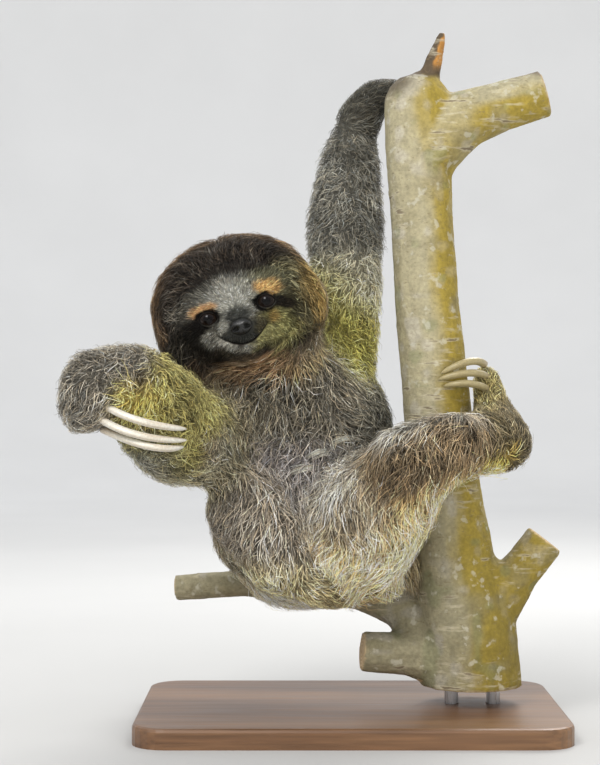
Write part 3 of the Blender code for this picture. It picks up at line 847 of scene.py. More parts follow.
def choose_roots(ground):
    """Places on the skin for the tufts' roots, spread by how much skin each tuft has to itself."""
    corners = ground.points[ground.faces]
    sides = corners[:, 1] - corners[:, 0], corners[:, 2] - corners[:, 0]
    area = np.linalg.norm(np.cross(*sides), axis=1) / 2
    middle = corners.mean(1)
    shares = ground.shares[ground.faces].mean(1)
    own = by_part(shares, "ground")
    on_face = face_share(head_local(middle))
    own = own * (1 + BACK_THINNING * smoothstep(middle[:, 1], 5, 40))
    own = between(own, FACE.ground, on_face)
    wanted = np.cumsum(area / own)
    count = int(wanted[-1])
    at = (np.arange(count) + RNG.random(count)) * wanted[-1] / count
    face = np.minimum(np.searchsorted(wanted, at), len(area) - 1)
    first, second = RNG.random((2, count))
    flip = first + second > 1
    first[flip], second[flip] = 1 - first[flip], 1 - second[flip]
    weight = np.stack([1 - first - second, first, second], axis=1)
    places = (ground.points[ground.faces[face]] * weight[..., None]).sum(1)
    kept = ~bare(places)
    mixing = weight[kept, :, None]
    corner_rows = ground.faces[face[kept]]
    return (
        places[kept],
        unit((ground.normals[corner_rows] * mixing).sum(1)),
        (ground.shares[corner_rows] * mixing).sum(1),
        (ground.room[corner_rows] * mixing[..., 0]).sum(1),
    )


def tuft_sizes(places, shares, room):
    """Each tuft's length, width, greatest height over the skin, frizz, freedom to hang, and layer."""
    x, _, z = head_local(places).T
    length, width = by_part(shares, "length"), by_part(shares, "width")
    frizz, hang = by_part(shares, "frizz"), by_part(shares, "hang")
    on_face = face_share(head_local(places))
    reach = face_reach(x, z)
    face_length = 2.6 + 2.6 * smoothstep(reach, 0.3, 1.0)
    face_length = np.where(lid_measure(x, z) < 2.2, FACE.length, face_length)
    head = shares[:, FLESH.index("head")]
    rim = head * np.maximum(smoothstep(crown_reach(x, z), 0.75, 0.95), smoothstep(-z, 28, 36))
    length = length + RIM_LENGTH * rim
    leg = shares[:, FLESH.index("thigh_left")] + shares[:, FLESH.index("shank_left")]
    length = length * (1 + LEG_LENGTHENING * leg * smoothstep(-leg_rise(places), 0, 20))
    length = between(length, face_length, on_face)
    width = between(width, FACE.width, on_face)
    frizz = between(frizz, FACE.frizz, on_face)
    hang = hang * (1 - on_face)
    # Guard hairs are long and lie on top of a shorter underfur; the loose ones among them are thinner
    count = len(places)
    guard = (RNG.random(count) < GUARD_SHARE) & (on_face < 0.3)
    loose = guard & (RNG.random(count) < LOOSE_SHARE)
    length = length * RNG.uniform(0.65, 1.25, count) * np.where(guard, 1.15, 0.8) * np.where(loose, 1.3, 1)
    width = width * RNG.uniform(0.8, 1.15, count) * np.where(loose, 0.6, 1)
    frizz = frizz * np.where(guard, 1.3, 0.8) * np.where(loose, 2.0, 1)
    share = np.where(guard, RNG.uniform(0.7, 1.15, count), RNG.uniform(0.45, 1.0, count))
    share = np.where(loose, RNG.uniform(1.15, 1.5, count), share)
    share *= 1 + CROWN_LIFT * head * smoothstep(z, 15, 35)
    height = room * share * (1 - on_face) + 1.5 * on_face * RNG.uniform(0.5, 1, count)
    return length, width, height, frizz, hang, guard


def keep_off_claws(places, normals):
    """Moves places that would lie over a claw to just under it."""
    for row in itertools.chain(*CLAWS.values()):
        steps = claw_point(row, np.linspace(0.18, 1, 14))
        nearest = nearest_on_line(places, steps)
        gap = places - nearest
        over = np.sum(gap * normals, axis=1)
        beside = np.linalg.norm(gap - normals * over[:, None], axis=1)
        covered = (beside < row[3] + 0.6) & (over > -row[3]) & (over < 16)
        lowered = nearest - normals * (row[3] + 0.8) + (gap - normals * over[:, None])
        places = np.where(covered[:, None], lowered, places)
    return places


def keep_out_of_tree(places, tree, clearance=0.4):
    """Moves places that are inside the bark, or touch it, out to its surface."""
    out = places.copy()
    for i, place in enumerate(places):
        found = tree.find_nearest(place, 12)
        if found[0] is None:
            continue
        over = (Vector(place) - found[0]).dot(found[1])
        if over < clearance:
            out[i] = found[0] + found[1] * clearance
    return out


def grow(ground, tree, roots, normals, sizes, steps):
    """Paths of tufts from the skin, station by station along the lie of the coat."""
    length, _, height, frizz, hang, _ = sizes
    count = len(roots)
    paths = [roots - normals * ROOT_DEPTH]
    stray = RNG.normal(0, 1, (count, 3)) * frizz[:, None]
    bend = RNG.normal(0, 1, (count, 3)) * frizz[:, None]
    _, facing, lie = ground.nearest(roots)
    place, before = roots, 0.0
    for t, rise in zip(STATIONS[steps], RISE[steps]):
        heading = unit(lie + stray + bend * (t - 0.5) * 1.5)
        heading = mixed(heading, unit(heading * 0.8 + DOWN), hang * t)
        ahead = place + heading * (length * (t - before))[:, None]
        before = t
        on_skin, facing, lie = ground.nearest(ahead)
        over = np.sum((ahead - on_skin) * facing, axis=1)
        wanted = height * rise
        free = np.clip(over, wanted * 0.5, wanted * 1.3 + 1)
        raised = wanted * (1 - hang) + free * hang
        along = ahead - on_skin - facing * over[:, None]
        place = on_skin + facing * raised[:, None] + along * hang[:, None]
        place = keep_off_claws(place, facing)
        place = keep_out_of_tree(place, tree)
        paths.append(place)
    return np.stack(paths, axis=1)


def gather_locks(paths, spacing, pull):
    """Draws tufts towards a few leaders near them, more at the tips, and gives each lock its tone."""
    count = len(paths)
    leaders = RNG.choice(count, max(1, int(count / spacing)), replace=False)
    chosen = leaders[nearest_rows(paths[:, 0], paths[leaders, 0])]
    apart = np.linalg.norm(paths[:, 0] - paths[chosen, 0], axis=1)
    apart_root = paths[:, 0] - paths[chosen, 0]
    joined = paths.copy()
    for level in range(1, paths.shape[1]):
        t = level / (paths.shape[1] - 1)
        beside = paths[chosen, level] + apart_root * (1 - 0.55 * t)
        amount = pull * t**1.2 * (apart < 14)
        joined[:, level] = mixed(paths[:, level], beside, amount)
    return joined, np.exp(RNG.normal(0, 0.2, count))[chosen]


def tuft_template(lengths):
    """Corner numbers, face sizes and map places of one closed three-sided tuft with a pointed end.

    The corners turn the way that makes the faces look inwards.
    """
    corners, sizes, places = [2, 1, 0], [3], [(2, 0), (1, 0), (0, 0)]
    for level, side in itertools.product(range(lengths), range(3)):
        here, beyond = level * 3 + side, level * 3 + (side + 1) % 3
        if level < lengths - 1:
            corners += [here, beyond, beyond + 3, here + 3]
            places += [(side, level), (side + 1, level), (side + 1, level + 1), (side, level + 1)]
            sizes.append(4)
        else:
            corners += [here, beyond, lengths * 3]
            places += [(side, level), (side + 1, level), (side + 0.5, lengths)]
            sizes.append(3)
    return np.array(corners), np.array(sizes), np.array(places) / (3, lengths)


def tuft_points(paths, widths, normals):
    """The points of the tufts round their paths: a ring of three at each level and one at the tip."""
    count, levels = paths.shape[:2]
    lengths = levels - 1
    girth = {3: (0.7, 1.0, 0.75), 2: (0.85, 0.85)}[lengths]
    roll = RNG.uniform(-0.6, 0.6, count)
    points = np.empty((count, lengths * 3 + 1, 3))
    for level in range(lengths):
        before = paths[:, max(level - 1, 0)]
        heading = unit(paths[:, level + 1] - before)
        side = unit(np.cross(heading, normals))
        above = np.cross(side, heading)
        for corner in range(3):
            angle = math.pi / 2 + corner * math.tau / 3 + roll
            reach = side * np.cos(angle)[:, None] + above * np.sin(angle)[:, None] * 0.7
            points[:, level * 3 + corner] = paths[:, level] + reach * (widths * girth[level] / 2)[:, None]
    points[:, -1] = paths[:, -1]
    return points


def unwrap(name, places):
    """Where roots lie on a map of their own part's skin, rolled out flat round its middle line."""
    if name in ("head", "muzzle"):
        local = head_local(places) - (0, 0, 5)
        away = unit(local)
        u = np.arctan2(away[:, 0], away[:, 1]) / math.tau + 0.5
        v = np.arcsin(np.clip(away[:, 2], -1, 1)) / math.pi + 0.5
        return np.stack([u, v], axis=1) * (1 - 2 * MAP_MARGIN) + MAP_MARGIN
    line = np.array(AXES[name], float)
    whole = unit(line[-1] - line[0])
    side = unit(np.cross(whole, TOWARDS_CAMERA + 0.01))
    other = np.cross(side, whole)
    spread = places - line.mean(0)
    u = np.arctan2(spread @ side, spread @ other) / math.tau + 0.5
    v = spread @ whole
    v = (v - v.min()) / max(np.ptp(v), 1e-6)
    return np.stack([u, v], axis=1) * (1 - 2 * MAP_MARGIN) + MAP_MARGIN


def tuft_colours(colour, guard, streaks, tone, lengths):
    """Each tuft's colours, from its root darkened by painted shade to its tip lightened by painted light.
    """
    count = len(colour)
    # Tones differ at random; on top of that, guard hairs are lightened as painted light and underfur is
    # darkened as painted shade
    tone = tone * np.exp(streaks * (RNG.normal(0, 1, count) + np.where(guard, 0.7, -1.15)))
    pick = RNG.random(count)
    darker = np.where(pick > 0.85, tone * np.exp(-1.8 * streaks), tone)
    tone = np.where(pick < 0.1, tone * np.exp(streaks), darker)
    warm = RNG.normal(0, 0.05, count)
    own = colour * tone[:, None] * (1 + warm[:, None] * np.array([1.0, 0.1, -1.2]))
    rows = [own * PAINTED_ROOT_SHADE_AND_TIP_LIGHT[lengths][i // 3] for i in range(lengths * 3)] + [own * PAINTED_ROOT_SHADE_AND_TIP_LIGHT[lengths][-1]]
    return np.clip(np.stack(rows, axis=1), 0.003, 0.92)


def coat_piece(name, paths, widths, normals, colours, places, material):
    """One joined mesh of tufts, with the map for baking."""
    lengths = paths.shape[1] - 1
    count = len(paths)
    corners, sizes, patch = tuft_template(lengths)
    per_tuft = lengths * 3 + 1
    every_corner = (np.arange(count) * per_tuft)[:, None] + corners
    every_start = (np.arange(count) * len(corners))[:, None] + np.cumsum(sizes) - sizes
    mesh = build_mesh(name, tuft_points(paths, widths, normals), every_corner, every_start)
    layer = mesh.uv_layers.new(name="OFBake")
    uv = places[:, None, :] + (patch - 0.5) * BAKE_PATCH
    layer.data.foreach_set("uv", uv.astype(np.float32).ravel())
    set_attribute(mesh, "coat", colours.reshape(-1, 3))
    mesh.materials.append(material)
    return new_object(name, mesh)


def make_coat(ground, tree, materials):
    """All the tufts, in pieces by part."""
    roots, normals, shares, room = choose_roots(ground)
    sizes = tuft_sizes(roots, shares, room)
    colour = markings_with_painted_light_and_shade(roots, shares)
    on_face = face_share(head_local(roots))
    streaks = between(by_part(shares, "streaks"), FACE.streaks, on_face)
    part = shares.argmax(1)
    guard = sizes[-1]
    long_hair = guard & (sizes[0] > 12)
    for lengths, chosen in ((3, long_hair), (2, ~long_hair)):
        rows = np.flatnonzero(chosen)
        own = [s[rows] for s in sizes]
        paths = grow(ground, tree, roots[rows], normals[rows], own, lengths)
        paths, tone = gather_locks(paths, 16, 0.4 if lengths == 3 else 0.25)
        for number, name in enumerate(FLESH):
            mine = np.flatnonzero(part[rows] == number)
            for piece in range(math.ceil(len(mine) / MOST_TUFTS[lengths])):
                some = mine[piece * MOST_TUFTS[lengths] : (piece + 1) * MOST_TUFTS[lengths]]
                slot = SLOTS.get(name, "coat_body")
                label = f"coat_{name}_{'short' if lengths == 2 else 'long'}_{piece + 1}"
                at = rows[some]
                colours = tuft_colours(colour[at], guard[at], streaks[at], tone[some], lengths)
                places = unwrap(name, roots[at])
                widths = own[1][some]
                obj = coat_piece(label, paths[some], widths, normals[at], colours, places, materials[slot])
                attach(obj, "root")


# Three pale locks lie across the chest: x and z of the end nearer the trunk and of the other end
WISPS = [((-2, 204), (-14, 202)), ((-16, 196), (-31, 191)), ((-24, 185), (-43, 180))]
WISP_TUFTS = 34  # in each lock
WISP_HEIGHT = 6.5
# The hair between the left leg and the trunk: its tufts, where they grow and where they end
FRINGE_TUFTS = 900
FRINGE_MIDDLE, FRINGE_SPREAD = (35.0, -6.0, 128.0), (5, 9, 9)
FRINGE_ENDS_X, FRINGE_ENDS_Z = (37, 51), (88, 110)


def make_wisps(ground, material):
    """Locks of pale hair that lie on top of the coat."""
    starts, ends = [], []
    for (near_x, near_z), (far_x, far_z) in WISPS:
        spread = RNG.normal(0, 1.1, (WISP_TUFTS, 2))
        starts += [(near_x + 3 * RNG.random() + a, near_z + b) for a, b in spread]
        ends += [(far_x + 1.2 * a + RNG.normal(0, 1.5), far_z + 1.3 * b) for a, b in spread]
    starts, ends = np.array(starts), np.array(ends)
    paths = []
    for t in (0.0, *STATIONS[3]):
        flat = starts * (1 - t) + ends * t
        flat[:, 1] += 1.5 * math.sin(math.pi * t)
        hits = [ground.tree.ray_cast((x, -200, z), (0, 1, 0)) for x, z in flat]
        places = np.array([h[0] for h in hits])
        normals = unit(ground.normals[ground.faces[[h[2] for h in hits]]].sum(1))
        height = (WISP_HEIGHT + RNG.uniform(0, 2.5, len(flat))) * (0.5 + 0.5 * t)
        paths.append(places + normals * height[:, None])
    lay_locks("coat_wisps", "belly", np.stack(paths, axis=1), normals, (0.6, 0.575, 0.48), 0.25, material)


def make_fringe(ground, tree, material):
    """Hair that hangs free from under the left leg, between it and the trunk."""
    near = np.array(FRINGE_MIDDLE) + RNG.normal(0, 1, (FRINGE_TUFTS, 3)) * FRINGE_SPREAD
    roots, normals, _ = ground.nearest(near)
    ends_x = RNG.uniform(*FRINGE_ENDS_X, FRINGE_TUFTS)
    ends_z = RNG.uniform(*FRINGE_ENDS_Z, FRINGE_TUFTS)
    ends = np.stack([ends_x, roots[:, 1], ends_z], axis=1)
    paths = [roots - normals * ROOT_DEPTH]
    for t in STATIONS[3]:
        place = roots * (1 - t) + ends * t + normals * (5 * math.sin(math.pi * t) + 1)
        place += RNG.normal(0, 0.8, place.shape) * t
        paths.append(keep_out_of_tree(place, tree))
    paths, _ = gather_locks(np.stack(paths, axis=1), 14, 0.3)
    lay_locks("coat_fringe", "thigh_left", paths, normals, (0.42, 0.33, 0.19), 0.5, material)


def lay_locks(name, part, paths, normals, colour, streaks, material):
    """A separate piece of coat from given paths."""
    count = len(paths)
    colours = tuft_colours(plain(colour, count), np.full(count, True), streaks, np.full(count, 0.8), 3)
    widths = RNG.uniform(0.5, 0.8, count)
    obj = coat_piece(name, paths, widths, normals, colours, unwrap(part, paths[:, 0]), material)
    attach(obj, "root")


# Materials


class Look:
    """A material being built from nodes, with the Principled shader at its end."""

    def __init__(self, name, **settings):
        self.material = bpy.data.materials.new(name)
        self.material.use_nodes = True
        self.tree = self.material.node_tree
        self.shader = self.tree.nodes["Principled BSDF"]
        self.set(self.shader, **settings)

    def set(self, node, **settings):
        for key, value in settings.items():
            socket = node.inputs[key.replace("_", " ")]
            socket.default_value = (*value, 1.0) if socket.type == "RGBA" else value
        return node

    def node(self, kind, **settings):
        return self.set(self.tree.nodes.new("ShaderNode" + kind), **settings)

    def link(self, start, end):
        self.tree.links.new(start, end)

    def attribute(self, name, output="Color"):
        node = self.node("Attribute")
        node.attribute_name = name
        return node.outputs[output]

    def place(self):
        return self.node("TexCoord").outputs["Object"]

    def noise(self, scale, detail=4.0, stretch=None):
        """Noise on the object's own coordinates, in metres, squeezed by stretch."""
        node = self.node("TexNoise", Scale=scale, Detail=detail)
        source = self.place()
        if stretch:
            mapping = self.node("Mapping", Scale=stretch)
            self.link(source, mapping.inputs["Vector"])
            source = mapping.outputs["Vector"]
        self.link(source, node.inputs["Vector"])
        return node.outputs["Fac"]

    def ramp(self, source, *stops):
        """Colours or greys by a number from 0 to 1."""
        node = self.tree.nodes.new("ShaderNodeValToRGB")
        while len(node.color_ramp.elements) < len(stops):
            node.color_ramp.elements.new(0.5)
        for element, (place, colour) in zip(node.color_ramp.elements, stops):
            element.position = place
            element.color = (*colour, 1.0) if isinstance(colour, tuple) else (colour, colour, colour, 1.0)
        self.link(source, node.inputs["Fac"])
        return node.outputs["Color"]

    def mix(self, first, second, amount, blend="MIX"):
        """Two colours together; amount is a number or a socket."""
        node = self.tree.nodes.new("ShaderNodeMix")
        node.data_type = "RGBA"
        node.blend_type = blend
        for name, value in (("Factor", amount), ("A", first), ("B", second)):
            socket = [s for s in node.inputs if s.name == name and s.enabled][0]
            if isinstance(value, bpy.types.NodeSocket):
                self.link(value, socket)
            else:
                socket.default_value = (*value, 1.0) if isinstance(value, tuple) else value
        return [s for s in node.outputs if s.enabled][0]

    def shaded(self, first, source, *stops):
        """A colour multiplied by a ramp."""
        return self.mix(first, self.ramp(source, *stops), 1.0, "MULTIPLY")

    def colour(self, source):
        self.link(source, self.shader.inputs["Base Color"])

    def roughness(self, source):
        self.link(source, self.shader.inputs["Roughness"])

    def bump(self, source, strength, distance_mm):
        node = self.node("Bump", Strength=strength, Distance=distance_mm * MM)
        self.link(source, node.inputs["Height"])
        self.link(node.outputs["Normal"], self.shader.inputs["Normal"])


def coat_look(name, roughness, sheen):
    """Hair: the markings, with their painted light and shade, carried by the mesh, with fine streaks."""
    look = Look(name, Roughness=roughness, Sheen_Weight=sheen, Sheen_Roughness=0.4, Specular_IOR_Level=0.18)
    look.colour(look.shaded(look.attribute("coat"), look.noise(900, 3), (0.3, 0.78), (0.7, 1.18)))
    return look.material


def skin_look():
    """Skin and the shortest underfur: the same markings, halved as painted shade between the hairs."""
    look = Look("skin", Roughness=0.75, Specular_IOR_Level=0.12)
    grain = look.noise(1400, 5)
    look.colour(look.shaded(look.attribute("coat"), grain, (0.3, 0.6), (0.7, 1.1)))
    look.bump(grain, 0.6, 0.5)
    return look.material


def eye_look():
    """A dark, wet eye: black pupil, brown iris with fine rays, darker rim."""
    look = Look("eye", Roughness=0.05, Specular_IOR_Level=0.16)
    ring = look.attribute("ring", "Fac")
    base = look.ramp(
        ring,
        (0.0, (0.002, 0.002, 0.002)),
        (0.26, (0.003, 0.002, 0.002)),
        (0.33, (0.008, 0.005, 0.004)),
        (0.6, (0.014, 0.009, 0.006)),
        (0.7, (0.004, 0.003, 0.002)),
        (1.0, (0.008, 0.006, 0.005)),
    )
    look.colour(look.shaded(base, look.noise(1800, 4), (0.35, 0.55), (0.65, 1.3)))
    return look.material


def nose_look():
    """Damp, finely pebbled black-grey skin."""
    look = Look("nose", Roughness=0.23, Specular_IOR_Level=0.48)
    cells = look.node("TexVoronoi", Scale=1500)
    look.link(look.place(), cells.inputs["Vector"])
    pebble = cells.outputs["Distance"]
    shade = look.ramp(look.noise(300, 4), (0.35, (0.004, 0.004, 0.004)), (0.75, (0.02, 0.02, 0.018)))
    look.colour(look.shaded(shade, pebble, (0.0, 1.25), (0.6, 0.7)))
    look.bump(look.ramp(pebble, (0.0, 1.0), (0.7, 0.0)), 0.5, 0.25)
    return look.material


def claw_look():
    """Bone-coloured horn with faint lengthwise grain."""
    look = Look("claw", Roughness=0.4, Coat_Weight=0.15, Coat_Roughness=0.3, Subsurface_Weight=0.08)
    look.shader.inputs["Subsurface Radius"].default_value = (0.004, 0.003, 0.002)
    fine = look.noise(700, 5)
    look.colour(look.shaded(look.attribute("horn"), fine, (0.3, 0.82), (0.7, 1.1)))
    look.roughness(look.ramp(fine, (0.3, 0.32), (0.7, 0.5)))
    look.bump(fine, 0.35, 0.15)
    return look.material


def bark_look():
    """Pale smooth bark with lichen, and sawn ends with growth rings."""
    look = Look("bark", Roughness=0.8, Specular_IOR_Level=0.3)
    fine = look.noise(420, 8)
    bark = look.shaded(look.attribute("bark"), fine, (0.25, 0.78), (0.75, 1.15))
    freckle = look.ramp(look.noise(260, 6, (1, 1, 2.2)), (0.6, 0.0), (0.7, 0.55))
    bark = look.mix(bark, (0.16, 0.125, 0.065), freckle)
    lichen = look.ramp(look.noise(120, 6), (0.6, 0.0), (0.66, 0.45))
    bark = look.mix(bark, (0.5, 0.48, 0.4), lichen)
    # Old leaf scars: short level dark lines, each in a paler band
    across_it = look.noise(44, 4, (1, 1, 6))
    here = look.ramp(look.noise(24, 2), (0.48, 0.0), (0.54, 1.0))
    swelling = look.mix((0, 0, 0), look.ramp(across_it, (0.54, 0.0), (0.63, 0.5)), here)
    bark = look.mix(bark, (0.5, 0.45, 0.33), swelling)
    scar = look.mix((0, 0, 0), look.ramp(across_it, (0.63, 0.0), (0.665, 0.75)), here)
    bark = look.mix(bark, (0.1, 0.07, 0.04), scar)
    ring = look.node("Math")
    ring.operation = "SINE"
    look.link(look.attribute("ring", "Fac"), ring.inputs[0])
    wood = look.ramp(ring.outputs[0], (0.0, (0.5, 0.36, 0.2)), (1.0, (0.66, 0.52, 0.32)))
    wood = look.shaded(wood, fine, (0.3, 0.75), (0.7, 1.1))
    look.colour(look.mix(bark, wood, look.attribute("sawn", "Fac")))
    look.bump(fine, 0.7, 0.8)
    return look.material


def stand_wood_look():
    """Oiled dark wood with long grain."""
    look = Look("stand_wood", Roughness=0.42, Coat_Weight=0.2, Coat_Roughness=0.3)
    grain = look.noise(26, 8, (0.12, 1.6, 1.6))
    fibre = look.noise(240, 6, (0.06, 1.5, 1.5))
    browns = (0.3, (0.075, 0.034, 0.016)), (0.5, (0.14, 0.068, 0.03)), (0.7, (0.21, 0.11, 0.05))
    wood = look.ramp(grain, *browns)
    look.colour(look.shaded(wood, fibre, (0.3, 0.7), (0.7, 1.2)))
    look.roughness(look.ramp(fibre, (0.3, 0.36), (0.7, 0.52)))
    look.bump(fibre, 0.25, 0.3)
    return look.material


def stand_steel_look():
    """Brushed steel."""
    look = Look("stand_steel", Metallic=1.0, Roughness=0.3)
    brushed = look.noise(500, 4, (1, 1, 0.05))
    look.colour(look.ramp(brushed, (0.3, (0.42, 0.42, 0.43)), (0.7, (0.6, 0.6, 0.61))))
    look.roughness(look.ramp(brushed, (0.3, 0.24), (0.7, 0.4)))
    return look.material


def floor_look():
    """Plain pale floor, a little paler far out, with the faintest mottling."""
    look = Look("floor", Roughness=0.85, Specular_IOR_Level=0.2)
    away = look.node("VectorMath")
    away.operation = "LENGTH"
    look.link(look.place(), away.inputs[0])
    nearness = look.node("Math")
    nearness.operation = "MULTIPLY"
    nearness.inputs[1].default_value = 0.4
    look.link(away.outputs["Value"], nearness.inputs[0])
    evened = look.ramp(
        nearness.outputs[0],
        (0.06, (0.47, 0.467, 0.46)),
        (0.3, (0.6, 0.596, 0.588)),
        (0.6, (0.66, 0.656, 0.648)),
        (1.0, (0.85, 0.845, 0.835)),
    )
    look.colour(look.shaded(evened, look.noise(3, 3), (0.3, 0.96), (0.7, 1.0)))
    return look.material


# Eyes, nose and claws


def tube_faces(rows, sides):
    """The faces between rings of points, closed at each end by a point that comes after all the rings."""
    faces = []
    for row, side in itertools.product(range(rows - 1), range(sides)):
        here, beside = row * sides + side, row * sides + (side + 1) % sides
        faces += [[here, beside, beside + sides], [here, beside + sides, here + sides]]
    first, end, last = rows * sides, rows * sides + 1, (rows - 1) * sides
    for side in range(sides):
        faces.append([first, (side + 1) % sides, side])
        faces.append([end, last + side, last + (side + 1) % sides])
    return np.array(faces)


def ball_grid(rings, sides):
    """Unit directions on a ball with its pole forward, and the faces between them."""
    down = np.linspace(0, math.pi, rings + 1)[1:-1]
    turn = np.arange(sides) * math.tau / sides
    down, turn = (a.ravel() for a in np.meshgrid(down, turn, indexing="ij"))
    ring = np.stack([np.sin(down) * np.cos(turn), np.cos(down), np.sin(down) * np.sin(turn)], axis=1)
    points = np.concatenate([ring, [[0, 1, 0], [0, -1, 0]]])
    return points, tube_faces(rings - 1, sides)


def finish_piece(name, mesh, material, slot, *nodes):
    """An object that rides on the body, replaces its solids and takes the given material."""
    mesh.materials.append(material)
    obj = new_object(name, mesh)
    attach(obj, "root")
    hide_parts(*nodes)


def make_eye(name, side, material):
    """An eyeball with a raised front."""
    points, faces = ball_grid(*EYE_GRID)
    ring = np.arccos(np.clip(points[:, 1], -1, 1)) / (math.pi / 2)
    bulge = 1 + 0.05 * np.exp(-((ring / 0.42) ** 2))
    centre = EYE * (side, 1, 1)
    mesh = make_mesh(name, head_world(points * (EYE_RADIUS * bulge)[:, None] + centre), faces)
    set_attribute(mesh, "ring", np.clip(ring, 0, 1))
    finish_piece(name, mesh, material, "eye", name)


def make_nose(material):
    """A broad nose pad with two nostrils and a groove between them."""
    points, faces = ball_grid(*NOSE_GRID)
    _, forward, z = points.T
    place = points * NOSE_RADII
    place[:, 0] *= 1 + 0.1 * np.clip(z, -1, 1)
    front = smoothstep(forward, 0.1, 0.6)
    place[:, 1] += front * 0.9 * hill(np.abs(place[:, 0]), place[:, 2], (4.6, 1.4), (3.2, 2.6))
    place[:, 1] -= front * 0.7 * np.exp(-((place[:, 0] / 0.7) ** 2)) * smoothstep(-place[:, 2], -1.5, 2.5)
    pit = hill(np.abs(place[:, 0]), place[:, 2], NOSTRIL, (1.9, 1.5))
    wing = hill(np.abs(place[:, 0]), place[:, 2], (NOSTRIL[0] + 1.9, NOSTRIL[1] - 0.6), (1.3, 0.7))
    place[:, 1] -= front * (3.6 * pit + 1.5 * wing)
    mesh = make_mesh("nose", head_world(place + NOSE), faces)
    finish_piece("nose_pad", mesh, material, "nose", "nose")


def make_claw(name, row, kind, material):
    """A long hooked claw, flattened at the sides, with a ridge above and a groove below."""
    t = np.linspace(0, 1, CLAW_STATIONS)
    middle = claw_point(row, t)
    heading = unit(np.gradient(middle, axis=0))
    base, bend, tip = (np.array(p, float) for p in row[:3])
    hinge = unit(np.cross(bend - base, tip - bend))
    outward = unit(np.cross(hinge, heading)) * -1
    turn = np.arange(CLAW_SIDES) * math.tau / CLAW_SIDES
    radius = row[3] * (1 - 0.45 * t**6)
    radius[-len(CLAW_POINT) :] *= CLAW_POINT
    ridge = 1 + 0.06 * np.exp(-((np.sin((turn - math.pi / 2) / 2) / 0.12) ** 2))
    ridge -= 0.14 * np.exp(-((np.sin((turn + math.pi / 2) / 2) / 0.16) ** 2))
    across_it = hinge * 0.86 * np.cos(turn)[:, None] * ridge[:, None]
    points = middle[:, None] + radius[:, None, None] * (
        across_it[None] + outward[:, None] * (1.0 * np.sin(turn) * ridge)[None, :, None]
    )
    points = np.concatenate([points.reshape(-1, 3), middle[:1], middle[-1:] + heading[-1:] * 0.3])
    mesh = make_mesh(name, points, tube_faces(CLAW_STATIONS, CLAW_SIDES))
    along = np.append(np.repeat(t, CLAW_SIDES), [0, 1])
    around = np.append(np.tile(turn, CLAW_STATIONS), [0, 0])
    streak = noise(np.stack([along * 3, around * 2, along * 0], axis=1), 1.0, 5)
    pale, tan = CLAW_COLOURS[kind]
    colour = mixed(plain(pale, len(along)), tan, smoothstep(streak, 0.0, 0.7) * 0.55)
    colour = mixed(colour, (0.42, 0.33, 0.22), 0.6 * (1 - smoothstep(along, 0.0, 0.22)))
    set_attribute(mesh, "horn", colour)
    finish_piece(name + "_horn", mesh, material, "claw", name)


# The perch

SAWN_ENDS = [  # the middle, outward direction and radius of each
    ((140, -5, 452), (32, -2, 9), 17.5),
    ((140, -3, 132), (19, 2, 25), 15.0),
    ((-129, 50, 91), (-52, 10, -4), 10.0),
    ((8, -12, 53), (-36, -4, 3), 14.5),
    ((88, 0, 27), (0, 0, -1), 36.0),
]
KNOT, KNOT_RADII = (52, -36, 131), (7, 14, 9)
TRUNK_LINE = [(88, 0, 27), (76, 0, 110), (67, 1, 174), (61, 0, 246), (51, 0, 376), (48, 0, 444)]


def leaf_scars(places):
    """Relief and darkness of old leaf scars: flat ovals up the trunk, each with a raised rim."""
    relief, dark = np.zeros(len(places)), np.zeros(len(places))
    trunk = np.array(TRUNK_LINE, float)
    for number, height in enumerate(range(95, 440, 19)):
        middle = [np.interp(height, trunk[:, 2], trunk[:, axis]) for axis in range(2)]
        turn = math.radians(-100 + 137.5 * number)
        out = np.array([math.cos(turn), math.sin(turn)])
        spread = places[:, :2] - middle
        beside = spread @ np.array([-out[1], out[0]])
        width, tall = RNG.uniform(6, 10), RNG.uniform(1.6, 3.0)
        rise = (places[:, 2] - height - 0.012 * beside**2) / tall
        reach = np.hypot(beside / width, rise) + 9 * (spread @ out < 0)
        relief += 0.45 * np.exp(-(((reach - 1) / 0.3) ** 2)) - 0.5 * np.exp(-((reach / 0.6) ** 2))
        dark += 0.8 * np.exp(-(((reach - 0.95) / 0.16) ** 2)) * (0.6 + 0.4 * noise(places, 3, 30))
    return relief, np.clip(dark, 0, 1)


